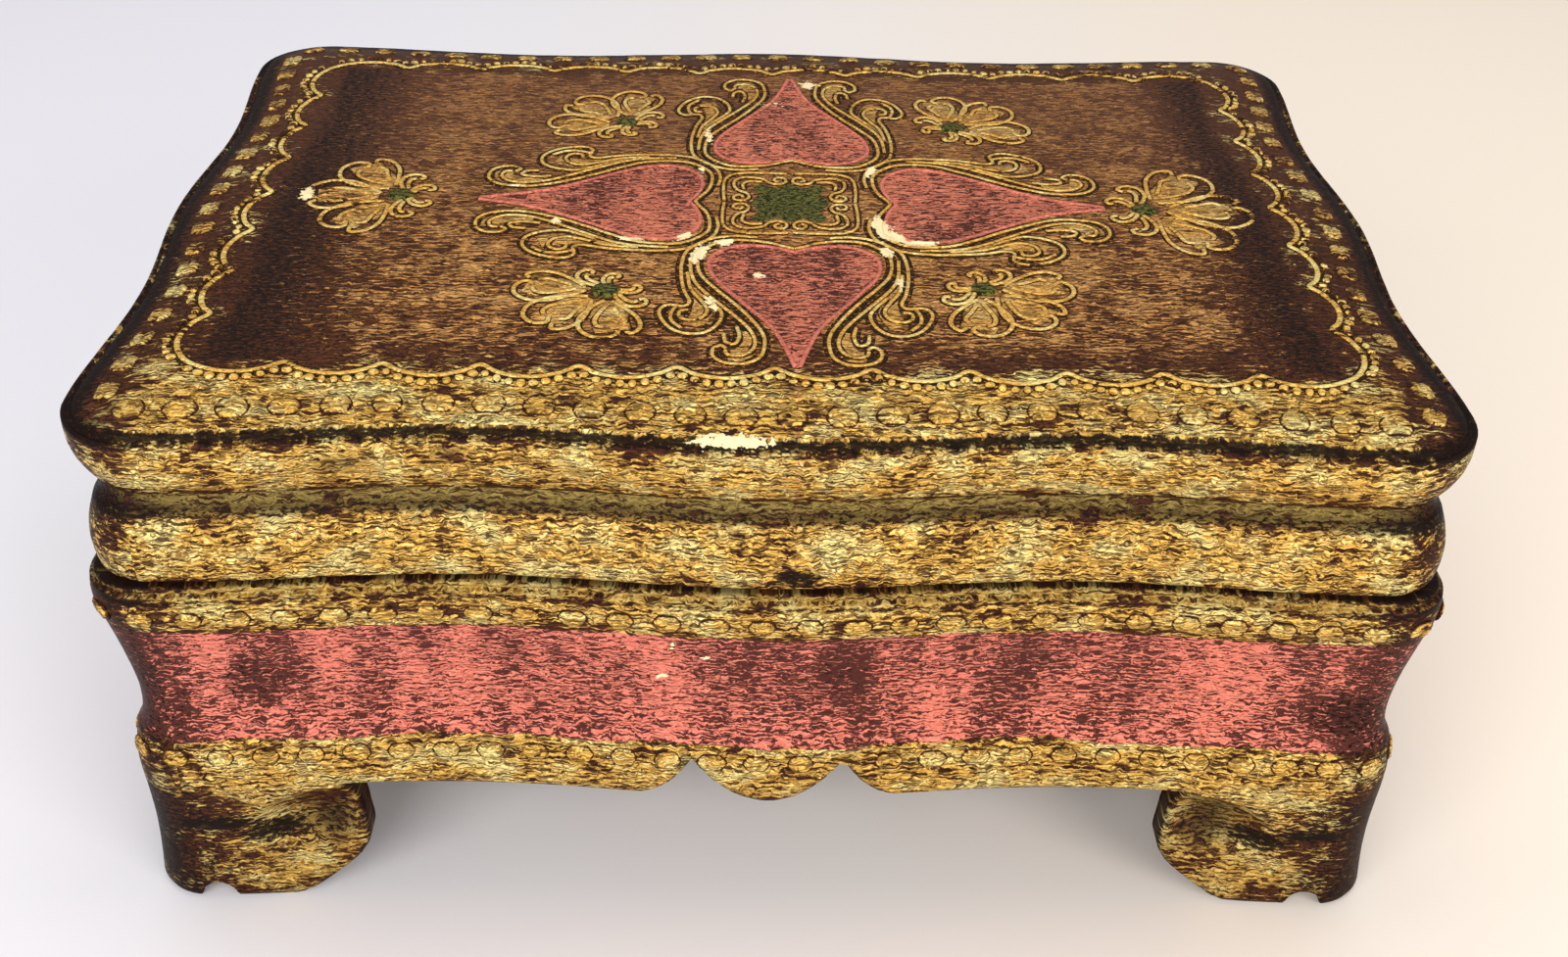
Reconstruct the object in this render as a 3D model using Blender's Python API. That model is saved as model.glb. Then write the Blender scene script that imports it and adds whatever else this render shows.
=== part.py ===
"""A footed, gilded trinket box with a lift-off lid.

The body is a moulded frame on four bracket feet, with a shaped apron and a floor.
The lid is a moulded frame under a gently rolled top, with a locating lip and low relief:
four hearts, six palmettes, a centre panel and a scalloped ridge round them.

Everything is in metres, +Z is up, the front faces -Y and the feet stand on Z = 0.
"""

import math

import bmesh
import bpy
from mathutils import Matrix, Vector

# Plan of the box, measured over the lid's widest edge
BOX_WIDTH = 0.1895
BOX_DEPTH = 0.1360
CORNER_RADIUS = 0.0082
LEAST_CORNER_RADIUS = 0.004
FRONT_WAVE = 0.0025
SIDE_WAVE = 0.0019
FRONT_WAVE_STEPS = 12
SIDE_WAVE_STEPS = 8
CORNER_STEPS = 4

# Heights of the body's members, from the floor up
FOOT_FACE_HEIGHT = 0.0222
LOWER_BAND_HEIGHT = 0.0091
COVE_HEIGHT = 0.0219
UPPER_BAND_HEIGHT = 0.0063
RIM_BEAD_HEIGHT = 0.0012
TOE_ROUNDING = 0.0012

# How far the body's members stand in from the widest edge, and how far they bow
FOOT_HOLLOW = 0.0005
LOWER_BAND_INSET = 0.0005
LOWER_BAND_SWELL = 0.0004
COVE_FOOT_INSET = 0.0014
COVE_TOP_INSET = 0.0004
COVE_HOLLOW = 0.0018
COVE_LEAN = 0.65
UPPER_BAND_SWELL = 0.0004
RIM_STEP = 0.0006

# Walls, floor and apron
WALL_THICKNESS = 0.0060
APRON_THICKNESS = 0.0060
FLOOR_THICKNESS = 0.0045
FLOOR_ABOVE_APRON = 0.0078
CAVITY_CORNER_RADIUS = 0.003

# Bracket feet, seen from the front or from the side
FOOT_LENGTH = 0.0312
FOOT_BELLY_HEIGHT = 0.0115
FOOT_INNER_SWELL = 0.0032
FOOT_TOE_CUT = 0.0109
TOE_NOTCH_WIDTH = 0.0060
TOE_NOTCH_HEIGHT = 0.0032
TOE_NOTCH_FROM_CORNER = 0.0105
SCOOP_FROM_CORNER = 0.0270
SCOOP_LENGTH = 0.0170
SCOOP_HEIGHT = 0.0095
SCOOP_REACH = 0.0040
SCOOP_DEPTH = 0.0024
SCOOP_CENTRE_HEIGHT = 0.0160

# The apron's pendant between its two cusps
PENDANT_HALF_WIDTH = 0.0112
PENDANT_DROP = 0.0012
CUSP_RISE = 0.0065
SHOULDER_WIDTH = 0.0085
SHOULDER_DROP = 0.0005

# The lid's members, from its underside up
LID_GAP = 0.0003
LID_BAND_HEIGHT = 0.0108
LID_BAND_FOOT_INSET = 0.0013
LID_BAND_HEAD_INSET = 0.0024
LID_BAND_SWELL = 0.0010
LID_COVE_HEIGHT = 0.0032
LID_COVE_INSET = 0.0042
LID_COVE_HOLLOW = 0.0004
SLAB_FACE_HEIGHT = 0.0093
SLAB_FOOT_INSET = 0.0030
SLAB_FACE_SWELL = 0.0010
ARRIS_INSET = 0.0003
ARRIS_STEP_HEIGHT = 0.0007
ARRIS_LEDGE = 0.0019
TOP_ROLL_WIDTH = 0.0145
TOP_ROLL_HEIGHT = 0.0021
SLAB_THICKNESS = 0.0085

# The locating lip under the lid
LIP_DEPTH = 0.0035
LIP_THICKNESS = 0.0030
LIP_CLEARANCE = 0.0006

# Low relief on the lid's top
RELIEF_RADIUS = 0.0005
PATTERN_SHIFT_X = 0.0030
PATTERN_SHIFT_Y = -0.0010
HEART_CLEFT = 0.0152
HEART_TIP_CLEARANCE = 0.0035
HEART_WIDEST = 0.0245
HEART_HALF_WIDTH = 0.0122
HEART_DIP = 0.0014
HEART_STEPS = 7
SCALLOP_LINE_INSET = 0.0153
SCALLOP_PITCH = 0.0134
SCALLOP_RISE = 0.0021
SCALLOP_STEPS = 3
PANEL_HALF_WIDTH = 0.0095
PANEL_BOW = -0.06
PANEL_STEPS = 6
PALMETTE_SIZE = 0.0100
PALMETTE_FAN = ((0.0, 0.78), (0.85, 0.8), (-0.85, 0.8), (1.75, 0.72), (-1.75, 0.72))
END_PALMETTE_REACH = 0.0590
CORNER_PALMETTE_REACH_X = 0.0274
CORNER_PALMETTE_REACH_Y = 0.0286

CUT_OVERRUN = 0.020

# Heights that follow from the members
LOWER_BAND_TOP = FOOT_FACE_HEIGHT + LOWER_BAND_HEIGHT
COVE_TOP = LOWER_BAND_TOP + COVE_HEIGHT
UPPER_BAND_TOP = COVE_TOP + UPPER_BAND_HEIGHT
BODY_TOP = UPPER_BAND_TOP + RIM_BEAD_HEIGHT
LID_FOOT = BODY_TOP + LID_GAP
LID_BAND_TOP = LID_FOOT + LID_BAND_HEIGHT
SLAB_FOOT = LID_BAND_TOP + LID_COVE_HEIGHT
ARRIS = SLAB_FOOT + SLAB_FACE_HEIGHT
ROLL_FOOT = ARRIS + ARRIS_STEP_HEIGHT
LID_TOP = ROLL_FOOT + TOP_ROLL_HEIGHT
FLOOR_UNDERSIDE = FOOT_FACE_HEIGHT + FLOOR_ABOVE_APRON
FLOOR_TOP = FLOOR_UNDERSIDE + FLOOR_THICKNESS

# The hearts' tips stop a clearance short of the scalloped line at the front and back
HEART_TIP = BOX_DEPTH / 2 - SCALLOP_LINE_INSET - HEART_TIP_CLEARANCE

# The hollow leaves a full wall behind the deepest part of the cove and of the waves
COVE_DEPTH = (COVE_FOOT_INSET + COVE_TOP_INSET) / 2 + COVE_HOLLOW
CAVITY_HALF_WIDTH = BOX_WIDTH / 2 - COVE_DEPTH - SIDE_WAVE - WALL_THICKNESS
CAVITY_HALF_DEPTH = BOX_DEPTH / 2 - COVE_DEPTH - FRONT_WAVE - WALL_THICKNESS


def moulding(foot, head, foot_inset, head_inset, swell, steps, lean=1.0):
    """Levels of one moulding member, from its foot to its head.

    Args:
        foot: Height of the member's lower edge.
        head: Height of its upper edge.
        foot_inset: How far the lower edge stands in from the box's widest line.
        head_inset: The same for the upper edge.
        swell: How far the face bows out between them; a negative one hollows it.
        steps: Number of facets up the face.
        lean: Below one the fullest bow lies nearer the foot, above one nearer the head.

    Returns:
        A list of (inset, height) pairs.
    """
    levels = []
    for step in range(steps + 1):
        share = step / steps
        bow = swell * math.sin(math.pi * share**lean)
        inset = foot_inset + (head_inset - foot_inset) * share - bow
        levels.append((inset, foot + (head - foot) * share))
    return levels


def body_levels():
    """Levels of the body's outside: toe, foot face, lower band, cove, upper band, rim."""
    levels = [(TOE_ROUNDING * 0.7, 0.0)]
    levels += moulding(TOE_ROUNDING, FOOT_FACE_HEIGHT, 0.0, LOWER_BAND_INSET, -FOOT_HOLLOW, 3)
    levels += moulding(
        FOOT_FACE_HEIGHT, LOWER_BAND_TOP, LOWER_BAND_INSET, COVE_FOOT_INSET, LOWER_BAND_SWELL, 3
    )[1:]
    levels += moulding(
        LOWER_BAND_TOP, COVE_TOP, COVE_FOOT_INSET, COVE_TOP_INSET, -COVE_HOLLOW, 5, COVE_LEAN
    )[1:]
    levels += moulding(COVE_TOP, UPPER_BAND_TOP, COVE_TOP_INSET, 0.0, UPPER_BAND_SWELL, 3)[1:]
    levels += [(RIM_STEP, UPPER_BAND_TOP), (RIM_STEP, BODY_TOP)]
    return levels


def top_roll(steps):
    """Levels of the lid's top, which rolls up from its ledge to its flat field."""
    levels = []
    for step in range(steps + 1):
        share = step / steps
        height = ROLL_FOOT + TOP_ROLL_HEIGHT * math.sin(math.pi / 2 * share)
        levels.append((ARRIS_LEDGE + TOP_ROLL_WIDTH * share, height))
    return levels


def lid_levels():
    """Levels of the lid's outside: band, cove, slab face, arris ledge and rolled top."""
    levels = moulding(
        LID_FOOT, LID_BAND_TOP, LID_BAND_FOOT_INSET, LID_BAND_HEAD_INSET, LID_BAND_SWELL, 4
    )
    levels += moulding(
        LID_BAND_TOP, SLAB_FOOT, LID_BAND_HEAD_INSET, LID_COVE_INSET, -LID_COVE_HOLLOW, 2
    )[1:]
    levels += moulding(SLAB_FOOT, ARRIS, SLAB_FOOT_INSET, ARRIS_INSET, SLAB_FACE_SWELL, 4)
    levels += [(ARRIS_LEDGE, ARRIS)]
    levels += top_roll(4)
    return levels


def hollow(share, wave):
    """How deep a side's wave is at a share of the side's length: two hollows, one swell."""
    return wave * (1 - math.cos(4 * math.pi * share)) / 2


def plan_outline(inset):
    """The box's wavy plan outline, counter-clockwise, drawn in by an inset."""
    radius = max(CORNER_RADIUS - inset, LEAST_CORNER_RADIUS)
    half_width = BOX_WIDTH / 2 - inset
    half_depth = BOX_DEPTH / 2 - inset
    front = (half_width - radius, half_depth, FRONT_WAVE, FRONT_WAVE_STEPS)
    side = (half_depth - radius, half_width, SIDE_WAVE, SIDE_WAVE_STEPS)
    points = []
    for quarter, (straight, reach, wave, steps) in enumerate((front, side, front, side)):
        turn = Matrix.Rotation(quarter * math.pi / 2, 2)
        for step in range(steps):
            share = step / steps
            points.append(turn @ Vector((straight * (2 * share - 1), hollow(share, wave) - reach)))
        for step in range(CORNER_STEPS):
            angle = math.pi / 2 * (step / CORNER_STEPS - 1)
            across = straight + radius * math.cos(angle)
            points.append(turn @ Vector((across, radius * (1 + math.sin(angle)) - reach)))
    return points


def surface_height(place):
    """Height of the lid's top surface over a place in plan."""
    front_share = 0.5 + place.x / (BOX_WIDTH - 2 * CORNER_RADIUS)
    side_share = 0.5 + place.y / (BOX_DEPTH - 2 * CORNER_RADIUS)
    front_inset = BOX_DEPTH / 2 - hollow(front_share, FRONT_WAVE) - abs(place.y)
    side_inset = BOX_WIDTH / 2 - hollow(side_share, SIDE_WAVE) - abs(place.x)
    share = (min(front_inset, side_inset) - ARRIS_LEDGE) / TOP_ROLL_WIDTH
    return ROLL_FOOT + TOP_ROLL_HEIGHT * math.sin(math.pi / 2 * min(max(share, 0.0), 1.0))


def material(name, colour, roughness, metallic):
    """A plain Principled material."""
    made = bpy.data.materials.new(name)
    made.use_nodes = True
    shader = made.node_tree.nodes["Principled BSDF"]
    shader.inputs["Base Color"].default_value = (*colour, 1.0)
    shader.inputs["Roughness"].default_value = roughness
    shader.inputs["Metallic"].default_value = metallic
    return made


def add_object(name, mesh, collection):
    """Puts a finished bmesh into the scene as a named object."""
    bmesh.ops.recalc_face_normals(mesh, faces=mesh.faces)
    data = bpy.data.meshes.new(name)
    mesh.to_mesh(data)
    mesh.free()
    made = bpy.data.objects.new(name, data)
    collection.objects.link(made)
    return made


def loft(name, levels, collection):
    """A closed solid through the plan outline at each (inset, height) level."""
    mesh = bmesh.new()
    rings = []
    for inset, height in levels:
        rings.append([mesh.verts.new((point.x, point.y, height)) for point in plan_outline(inset)])
    for lower, upper in zip(rings, rings[1:]):
        for i in range(len(lower)):
            mesh.faces.new((lower[i - 1], lower[i], upper[i], upper[i - 1]))
    mesh.faces.new(reversed(rings[0]))
    mesh.faces.new(rings[-1])
    return add_object(name, mesh, collection)


def rounded_box(name, half_width, half_depth, foot, head, collection):
    """An upright box with rounded upright edges, for the hollows and the lip."""
    mesh = bmesh.new()
    bmesh.ops.create_cube(mesh, size=1.0)
    bmesh.ops.scale(mesh, vec=(2 * half_width, 2 * half_depth, head - foot), verts=mesh.verts)
    bmesh.ops.translate(mesh, vec=(0.0, 0.0, (foot + head) / 2), verts=mesh.verts)
    upright = [edge for edge in mesh.edges if edge.verts[0].co.xy == edge.verts[1].co.xy]
    bmesh.ops.bevel(
        mesh, geom=upright, offset=CAVITY_CORNER_RADIUS, segments=3, profile=0.5, affect="EDGES"
    )
    return add_object(name, mesh, collection)


def prism(name, outline, span, turn, collection):
    """A cutter with an upright outline of (along, height) pairs, run along its own Y axis."""
    mesh = bmesh.new()
    corners = [mesh.verts.new((along, -span / 2, height)) for along, height in outline]
    face = mesh.faces.new(corners)
    pushed = bmesh.ops.extrude_face_region(mesh, geom=[face])["geom"]
    moved = [item for item in pushed if isinstance(item, bmesh.types.BMVert)]
    bmesh.ops.translate(mesh, vec=(0.0, span, 0.0), verts=moved)
    bmesh.ops.rotate(mesh, matrix=Matrix.Rotation(turn, 3, "Z"), verts=mesh.verts)
    return add_object(name, mesh, collection)


def foot_inner_edge(corner_to_centre):
    """Inner edge of a bracket foot, from the apron down, as (along, height) pairs."""
    start = corner_to_centre - FOOT_LENGTH
    points = []
    for step in range(4):
        share = step / 4
        height = FOOT_FACE_HEIGHT + (FOOT_BELLY_HEIGHT - FOOT_FACE_HEIGHT) * share
        points.append((start - FOOT_INNER_SWELL * math.sin(math.pi / 2 * share), height))
    for step in range(6):
        share = step / 5
        along = start - FOOT_INNER_SWELL + FOOT_TOE_CUT * (1 - math.cos(math.pi / 2 * share))
        points.append((along, FOOT_BELLY_HEIGHT * (1 - share)))
    points.append((points[-1][0], -CUT_OVERRUN))
    return points


def pendant_edge():
    """Lower edge of the front apron from its centre to its shoulder: a lobe, a cusp, a lobe."""
    lowest = FOOT_FACE_HEIGHT - PENDANT_DROP
    shoulder = FOOT_FACE_HEIGHT - SHOULDER_DROP
    cusp = FOOT_FACE_HEIGHT + CUSP_RISE
    points = []
    for step in range(6):
        share = step / 5
        points.append((PENDANT_HALF_WIDTH * share, lowest + (cusp - lowest) * share**2))
    for step in range(4, -1, -1):
        share = step / 5
        along = PENDANT_HALF_WIDTH + SHOULDER_WIDTH * (1 - share)
        points.append((along, shoulder + (cusp - shoulder) * share**2))
    return points


def mirrored(half):
    """A whole outline from its right half, which starts on the centre line or beside it."""
    left = [(-along, height) for along, height in reversed(half) if along > 0.0]
    return left + half


def under_cutters(collection):
    """Cutters for the openings between the feet and the hollow under the floor."""
    half_width = BOX_WIDTH / 2
    half_depth = BOX_DEPTH / 2
    front = mirrored(pendant_edge() + foot_inner_edge(half_width))
    side = mirrored(foot_inner_edge(half_depth))
    return [
        prism("front_opening", front, BOX_DEPTH + 2 * CUT_OVERRUN, 0.0, collection),
        prism("side_opening", side, BOX_WIDTH + 2 * CUT_OVERRUN, math.pi / 2, collection),
        rounded_box(
            "under_hollow",
            half_width - APRON_THICKNESS,
            half_depth - APRON_THICKNESS,
            -CUT_OVERRUN,
            FLOOR_UNDERSIDE,
            collection,
        ),
    ]


def toe_notches(collection):
    """Cutters for the small arched notch in the toe of each foot, front and back."""
    made = []
    for side in (-1, 1):
        for end in (-1, 1):
            mesh = bmesh.new()
            bmesh.ops.create_cone(
                mesh, segments=8, radius1=0.5, radius2=0.5, depth=1.0, cap_ends=True
            )
            bmesh.ops.rotate(mesh, matrix=Matrix.Rotation(math.pi / 2, 3, "X"), verts=mesh.verts)
            size = (TOE_NOTCH_WIDTH, APRON_THICKNESS + 2 * RELIEF_RADIUS, 2 * TOE_NOTCH_HEIGHT)
            bmesh.ops.scale(mesh, vec=size, verts=mesh.verts)
            place = (
                side * (BOX_WIDTH / 2 - TOE_NOTCH_FROM_CORNER),
                end * (BOX_DEPTH / 2 - APRON_THICKNESS / 2),
                0.0,
            )
            bmesh.ops.translate(mesh, vec=place, verts=mesh.verts)
            made.append(add_object("toe_notch", mesh, collection))
    return made


def foot_scoops(collection):
    """Cutters for the shallow hollow across the front and back face of each foot."""
    made = []
    for side in (-1, 1):
        for end in (-1, 1):
            mesh = bmesh.new()
            bmesh.ops.create_uvsphere(mesh, u_segments=12, v_segments=8, radius=1.0)
            size = (SCOOP_LENGTH, SCOOP_REACH, SCOOP_HEIGHT / 2)
            bmesh.ops.scale(mesh, vec=size, verts=mesh.verts)
            place = (
                side * (BOX_WIDTH / 2 - SCOOP_FROM_CORNER),
                end * (BOX_DEPTH / 2 + SCOOP_REACH - SCOOP_DEPTH),
                SCOOP_CENTRE_HEIGHT,
            )
            bmesh.ops.translate(mesh, vec=place, verts=mesh.verts)
            made.append(add_object("foot_scoop", mesh, collection))
    return made


def heart_outline():
    """One heart's outline, tip outwards, as (out, across) places from the pattern's centre."""
    lobe = HEART_WIDEST - HEART_CLEFT
    half = []
    for step in range(HEART_STEPS):
        angle = math.pi / 2 * (1 - step / HEART_STEPS)
        across = HEART_HALF_WIDTH * math.cos(angle) ** (2 / 3)
        dip = HEART_DIP * (1 - across / HEART_HALF_WIDTH) ** 2
        half.append((HEART_WIDEST - lobe * math.sin(angle) ** (2 / 3) + dip, across))
    for step in range(HEART_STEPS + 1):
        share = step / HEART_STEPS
        out = HEART_WIDEST + (HEART_TIP - HEART_WIDEST) * share
        half.append((out, HEART_HALF_WIDTH * (1 - share**1.2) ** 1.6))
    return half + [(out, -across) for out, across in reversed(half[1:-1])]


def scallop_line():
    """The closed line of scallops round the lid's field, cusps inwards, in plan."""
    half_width = BOX_WIDTH / 2 - SCALLOP_LINE_INSET
    half_depth = BOX_DEPTH / 2 - SCALLOP_LINE_INSET
    points = []
    for quarter in range(4):
        turn = Matrix.Rotation(quarter * math.pi / 2, 2)
        half_run, reach = (half_width, half_depth) if quarter % 2 == 0 else (half_depth, half_width)
        count = round(2 * half_run / SCALLOP_PITCH)
        for step in range(count * SCALLOP_STEPS):
            share = step / SCALLOP_STEPS
            rise = SCALLOP_RISE * abs(math.sin(math.pi * share))
            points.append(turn @ Vector((2 * half_run * share / count - half_run, -reach - rise)))
    return points


def ridge(name, loops, collection):
    """A low ridge along closed loops of plan places, half sunk in the lid's top."""
    curve = bpy.data.curves.new(name, "CURVE")
    curve.dimensions = "3D"
    curve.bevel_depth = RELIEF_RADIUS
    curve.bevel_resolution = 0
    for loop in loops:
        spline = curve.splines.new("POLY")
        spline.points.add(len(loop) - 1)
        spline.use_cyclic_u = True
        for point, place in zip(spline.points, loop):
            point.co = (place.x, place.y, surface_height(place), 1.0)
    source = bpy.data.objects.new(name + "_line", curve)
    bpy.context.scene.collection.objects.link(source)
    bpy.context.view_layer.update()
    graph = bpy.context.evaluated_depsgraph_get()
    data = bpy.data.meshes.new_from_object(source.evaluated_get(graph))
    bpy.data.objects.remove(source)
    mesh = bmesh.new()
    mesh.from_mesh(data)
    bpy.data.meshes.remove(data)
    bmesh.ops.remove_doubles(mesh, verts=mesh.verts, dist=1e-6)
    return add_object(name, mesh, collection)


def add_stud(mesh, place, frame, size, sides):
    """Adds one low oval stud to a mesh, half sunk in the surface that it sits on.

    Args:
        mesh: The bmesh that takes the stud.
        place: Its centre on the surface.
        frame: Its along, across and outward directions, as a matrix's columns.
        size: Its half length, half width and relief.
        sides: Number of facets round it.
    """
    shape = Matrix.LocRotScale(place, frame.to_quaternion(), size)
    bmesh.ops.create_uvsphere(mesh, u_segments=sides, v_segments=4, radius=1.0, matrix=shape)


def palmette_studs(mesh, boss, heading):
    """Adds a palmette: a boss with a fan of leaves on the side that it heads for."""
    leaves = [(heading + spread, reach) for spread, reach in PALMETTE_FAN]
    for angle, reach in leaves:
        along = Vector((math.cos(angle), math.sin(angle), 0.0))
        place = boss + along * reach * PALMETTE_SIZE
        place.z = surface_height(place)
        size = Vector((PALMETTE_SIZE * 0.38, PALMETTE_SIZE * 0.16, RELIEF_RADIUS))
        add_stud(mesh, place, Matrix.Rotation(angle, 3, "Z"), size, 8)
    size = Vector((PALMETTE_SIZE * 0.24, PALMETTE_SIZE * 0.18, RELIEF_RADIUS * 1.4))
    add_stud(mesh, boss, Matrix.Identity(3), size, 8)


def palmettes(name, collection):
    """The six palmettes, four towards the corners and one at each end, as one mesh."""
    mesh = bmesh.new()
    for side in (-1, 1):
        heading = 0.0 if side > 0 else math.pi
        places = [(side * END_PALMETTE_REACH, PATTERN_SHIFT_Y)]
        for end in (-1, 1):
            across = PATTERN_SHIFT_X + side * CORNER_PALMETTE_REACH_X
            places.append((across, PATTERN_SHIFT_Y + end * CORNER_PALMETTE_REACH_Y))
        for across, along in places:
            palmette_studs(mesh, Vector((across, along, LID_TOP)), heading)
    return add_object(name, mesh, collection)


def hearts(name, collection):
    """The raised outlines of the four hearts, tips outwards round the pattern's centre."""
    centre = Vector((PATTERN_SHIFT_X, PATTERN_SHIFT_Y))
    loops = []
    for quarter in range(4):
        turn = Matrix.Rotation(quarter * math.pi / 2, 2)
        loops.append([centre + turn @ Vector(place) for place in heart_outline()])
    return ridge(name, loops, collection)


def centre_panel(name, collection):
    """The raised square frame, with bowed sides, round the pattern's centre."""
    loop = []
    for step in range(4 * PANEL_STEPS):
        angle = 2 * math.pi * step / (4 * PANEL_STEPS)
        reach = PANEL_HALF_WIDTH * (1 + PANEL_BOW * math.cos(4 * angle))
        place = Vector((math.cos(angle), math.sin(angle))) * reach
        loop.append(place + Vector((PATTERN_SHIFT_X, PATTERN_SHIFT_Y)))
    return ridge(name, [loop], collection)


def combine(target, tool, operation):
    """Joins a tool to a target, or cuts it out, with a live exact Boolean."""
    boolean = target.modifiers.new(tool.name, "BOOLEAN")
    boolean.operation = operation
    boolean.solver = "EXACT"
    boolean.object = tool
    tool.display_type = "WIRE"
    tool.hide_render = True


def build_body(parts, cutters):
    """The body: moulded frame, floor, apron and feet."""
    body = loft("body", body_levels(), parts)
    cavity = rounded_box(
        "cavity",
        CAVITY_HALF_WIDTH,
        CAVITY_HALF_DEPTH,
        FLOOR_TOP,
        BODY_TOP + CUT_OVERRUN,
        cutters,
    )
    for cutter in [cavity] + under_cutters(cutters) + toe_notches(cutters) + foot_scoops(cutters):
        combine(body, cutter, "DIFFERENCE")
    body.data.materials.append(material("gilt_gesso_body", (0.46, 0.24, 0.12), 0.5, 0.35))
    return body


def build_lid(parts, cutters):
    """The lid: moulded frame, slab, locating lip and the relief on its top."""
    lid = loft("lid", lid_levels(), parts)
    lip_half_width = CAVITY_HALF_WIDTH - LIP_CLEARANCE
    lip_half_depth = CAVITY_HALF_DEPTH - LIP_CLEARANCE
    lip = rounded_box(
        "lip", lip_half_width, lip_half_depth, BODY_TOP - LIP_DEPTH, LID_BAND_TOP, cutters
    )
    recess = rounded_box(
        "recess",
        lip_half_width - LIP_THICKNESS,
        lip_half_depth - LIP_THICKNESS,
        BODY_TOP - LIP_DEPTH - CUT_OVERRUN,
        LID_TOP - SLAB_THICKNESS,
        cutters,
    )
    combine(lid, lip, "UNION")
    combine(lid, recess, "DIFFERENCE")
    combine(lid, hearts("heart_ridges", cutters), "UNION")
    combine(lid, centre_panel("panel_ridge", cutters), "UNION")
    combine(lid, palmettes("palmettes", cutters), "UNION")
    combine(lid, ridge("scallop_ridge", [scallop_line()], cutters), "UNION")
    lid.data.materials.append(material("gilt_gesso_lid", (0.38, 0.2, 0.1), 0.5, 0.35))
    return lid


def main():
    """Clears the scene and builds the box and its lid."""
    for old in list(bpy.data.objects):
        bpy.data.objects.remove(old)
    parts = bpy.data.collections.new("trinket_box")
    cutters = bpy.data.collections.new("cutters")
    for collection in (parts, cutters):
        bpy.context.scene.collection.children.link(collection)
    cutters.hide_render = True
    build_body(parts, cutters)
    build_lid(parts, cutters)


main()
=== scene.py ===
"""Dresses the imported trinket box: fine skins, raised gesso ornament and worn gilding.

The body and the lid are each lofted again, finely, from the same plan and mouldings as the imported
solids. Raised lines, beads and coins of gesso are laid on them, and every surface is painted with
worn gold leaf, dark glaze, coral and green by node materials.
Places on the lid's top are in millimetres, x to the right and y to the back. Heights are in metres.
"""

import logging
import math
from dataclasses import dataclass, field, replace
from enum import Enum
from functools import reduce
from itertools import chain
from typing import Iterable, Sequence

import bmesh
import bpy
import numpy as np
from mathutils import Matrix, Vector, kdtree, noise
from mathutils.bvhtree import BVHTree


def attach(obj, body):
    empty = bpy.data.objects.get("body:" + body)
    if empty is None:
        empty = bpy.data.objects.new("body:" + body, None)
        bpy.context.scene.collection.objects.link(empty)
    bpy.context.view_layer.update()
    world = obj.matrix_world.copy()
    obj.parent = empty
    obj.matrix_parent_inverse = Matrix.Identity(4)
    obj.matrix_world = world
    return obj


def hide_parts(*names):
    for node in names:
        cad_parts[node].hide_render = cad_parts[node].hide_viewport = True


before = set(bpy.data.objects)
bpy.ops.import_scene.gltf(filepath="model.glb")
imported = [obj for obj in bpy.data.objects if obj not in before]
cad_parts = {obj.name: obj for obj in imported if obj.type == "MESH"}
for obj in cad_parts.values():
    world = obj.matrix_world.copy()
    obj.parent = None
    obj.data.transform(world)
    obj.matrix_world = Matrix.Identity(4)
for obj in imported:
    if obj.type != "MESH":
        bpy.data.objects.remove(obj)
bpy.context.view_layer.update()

LOG = logging.getLogger("trinket_box")
ROOT = "root"
MM = 0.001
TINY = 1e-14
SPECULAR_LEVEL = 0.04
Level = tuple[float, float]
Place = tuple[float, float]
Size = tuple[float, float, float]
Socket = bpy.types.NodeSocket


@dataclass(frozen=True)
class Steps:
    """How finely a plan outline is cut."""

    front: int = 176
    side: int = 124
    corner: int = 12

    @property
    def count(self) -> int:
        """Points in one ring."""
        return 2 * (self.front + self.side) + 4 * self.corner


@dataclass(frozen=True)
class Plan:
    """A rounded oblong with waved sides, which a member repeats at its own inset."""

    width: float
    depth: float
    corner_radius: float
    front_wave: float = 0.0
    side_wave: float = 0.0
    least_radius: float = 0.003

    def ring(self, inset: float = 0.0, steps: Steps = Steps()) -> np.ndarray:
        """The outline, counter-clockwise from the left end of the front.

        Args:
            inset: How far the outline is drawn in.
            steps: How finely it is cut.

        Returns:
            An array of x, y pairs.
        """
        radius = max(self.corner_radius - inset, self.least_radius)
        front = (self.width / 2 - inset, self.depth / 2 - inset, self.front_wave, steps.front)
        side = (self.depth / 2 - inset, self.width / 2 - inset, self.side_wave, steps.side)
        points = []
        for quarter, (half, reach, wave, count) in enumerate((front, side, front, side)):
            share = np.arange(count) / count
            hollow = wave * (1 - np.cos(4 * np.pi * share)) / 2
            straight = np.stack([(half - radius) * (2 * share - 1), hollow - reach], 1)
            angle = np.pi / 2 * (np.arange(steps.corner) / steps.corner - 1)
            across = half - radius + radius * np.cos(angle)
            corner = np.stack([across, radius * (1 + np.sin(angle)) - reach], 1)
            turn = quarter * np.pi / 2
            spin = np.array([[math.cos(turn), math.sin(turn)], [-math.sin(turn), math.cos(turn)]])
            points.append(np.concatenate([straight, corner]) @ spin)
        return np.concatenate(points)


BOX = Plan(
    width=0.1895,
    depth=0.1360,
    corner_radius=0.0082,
    front_wave=0.0025,
    side_wave=0.0019,
    least_radius=0.004,
)
PATTERN_CENTRE = Vector((3.1, -0.9)) * MM
FIELD_CENTRE = Vector((2.6, -0.9)) * MM


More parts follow.
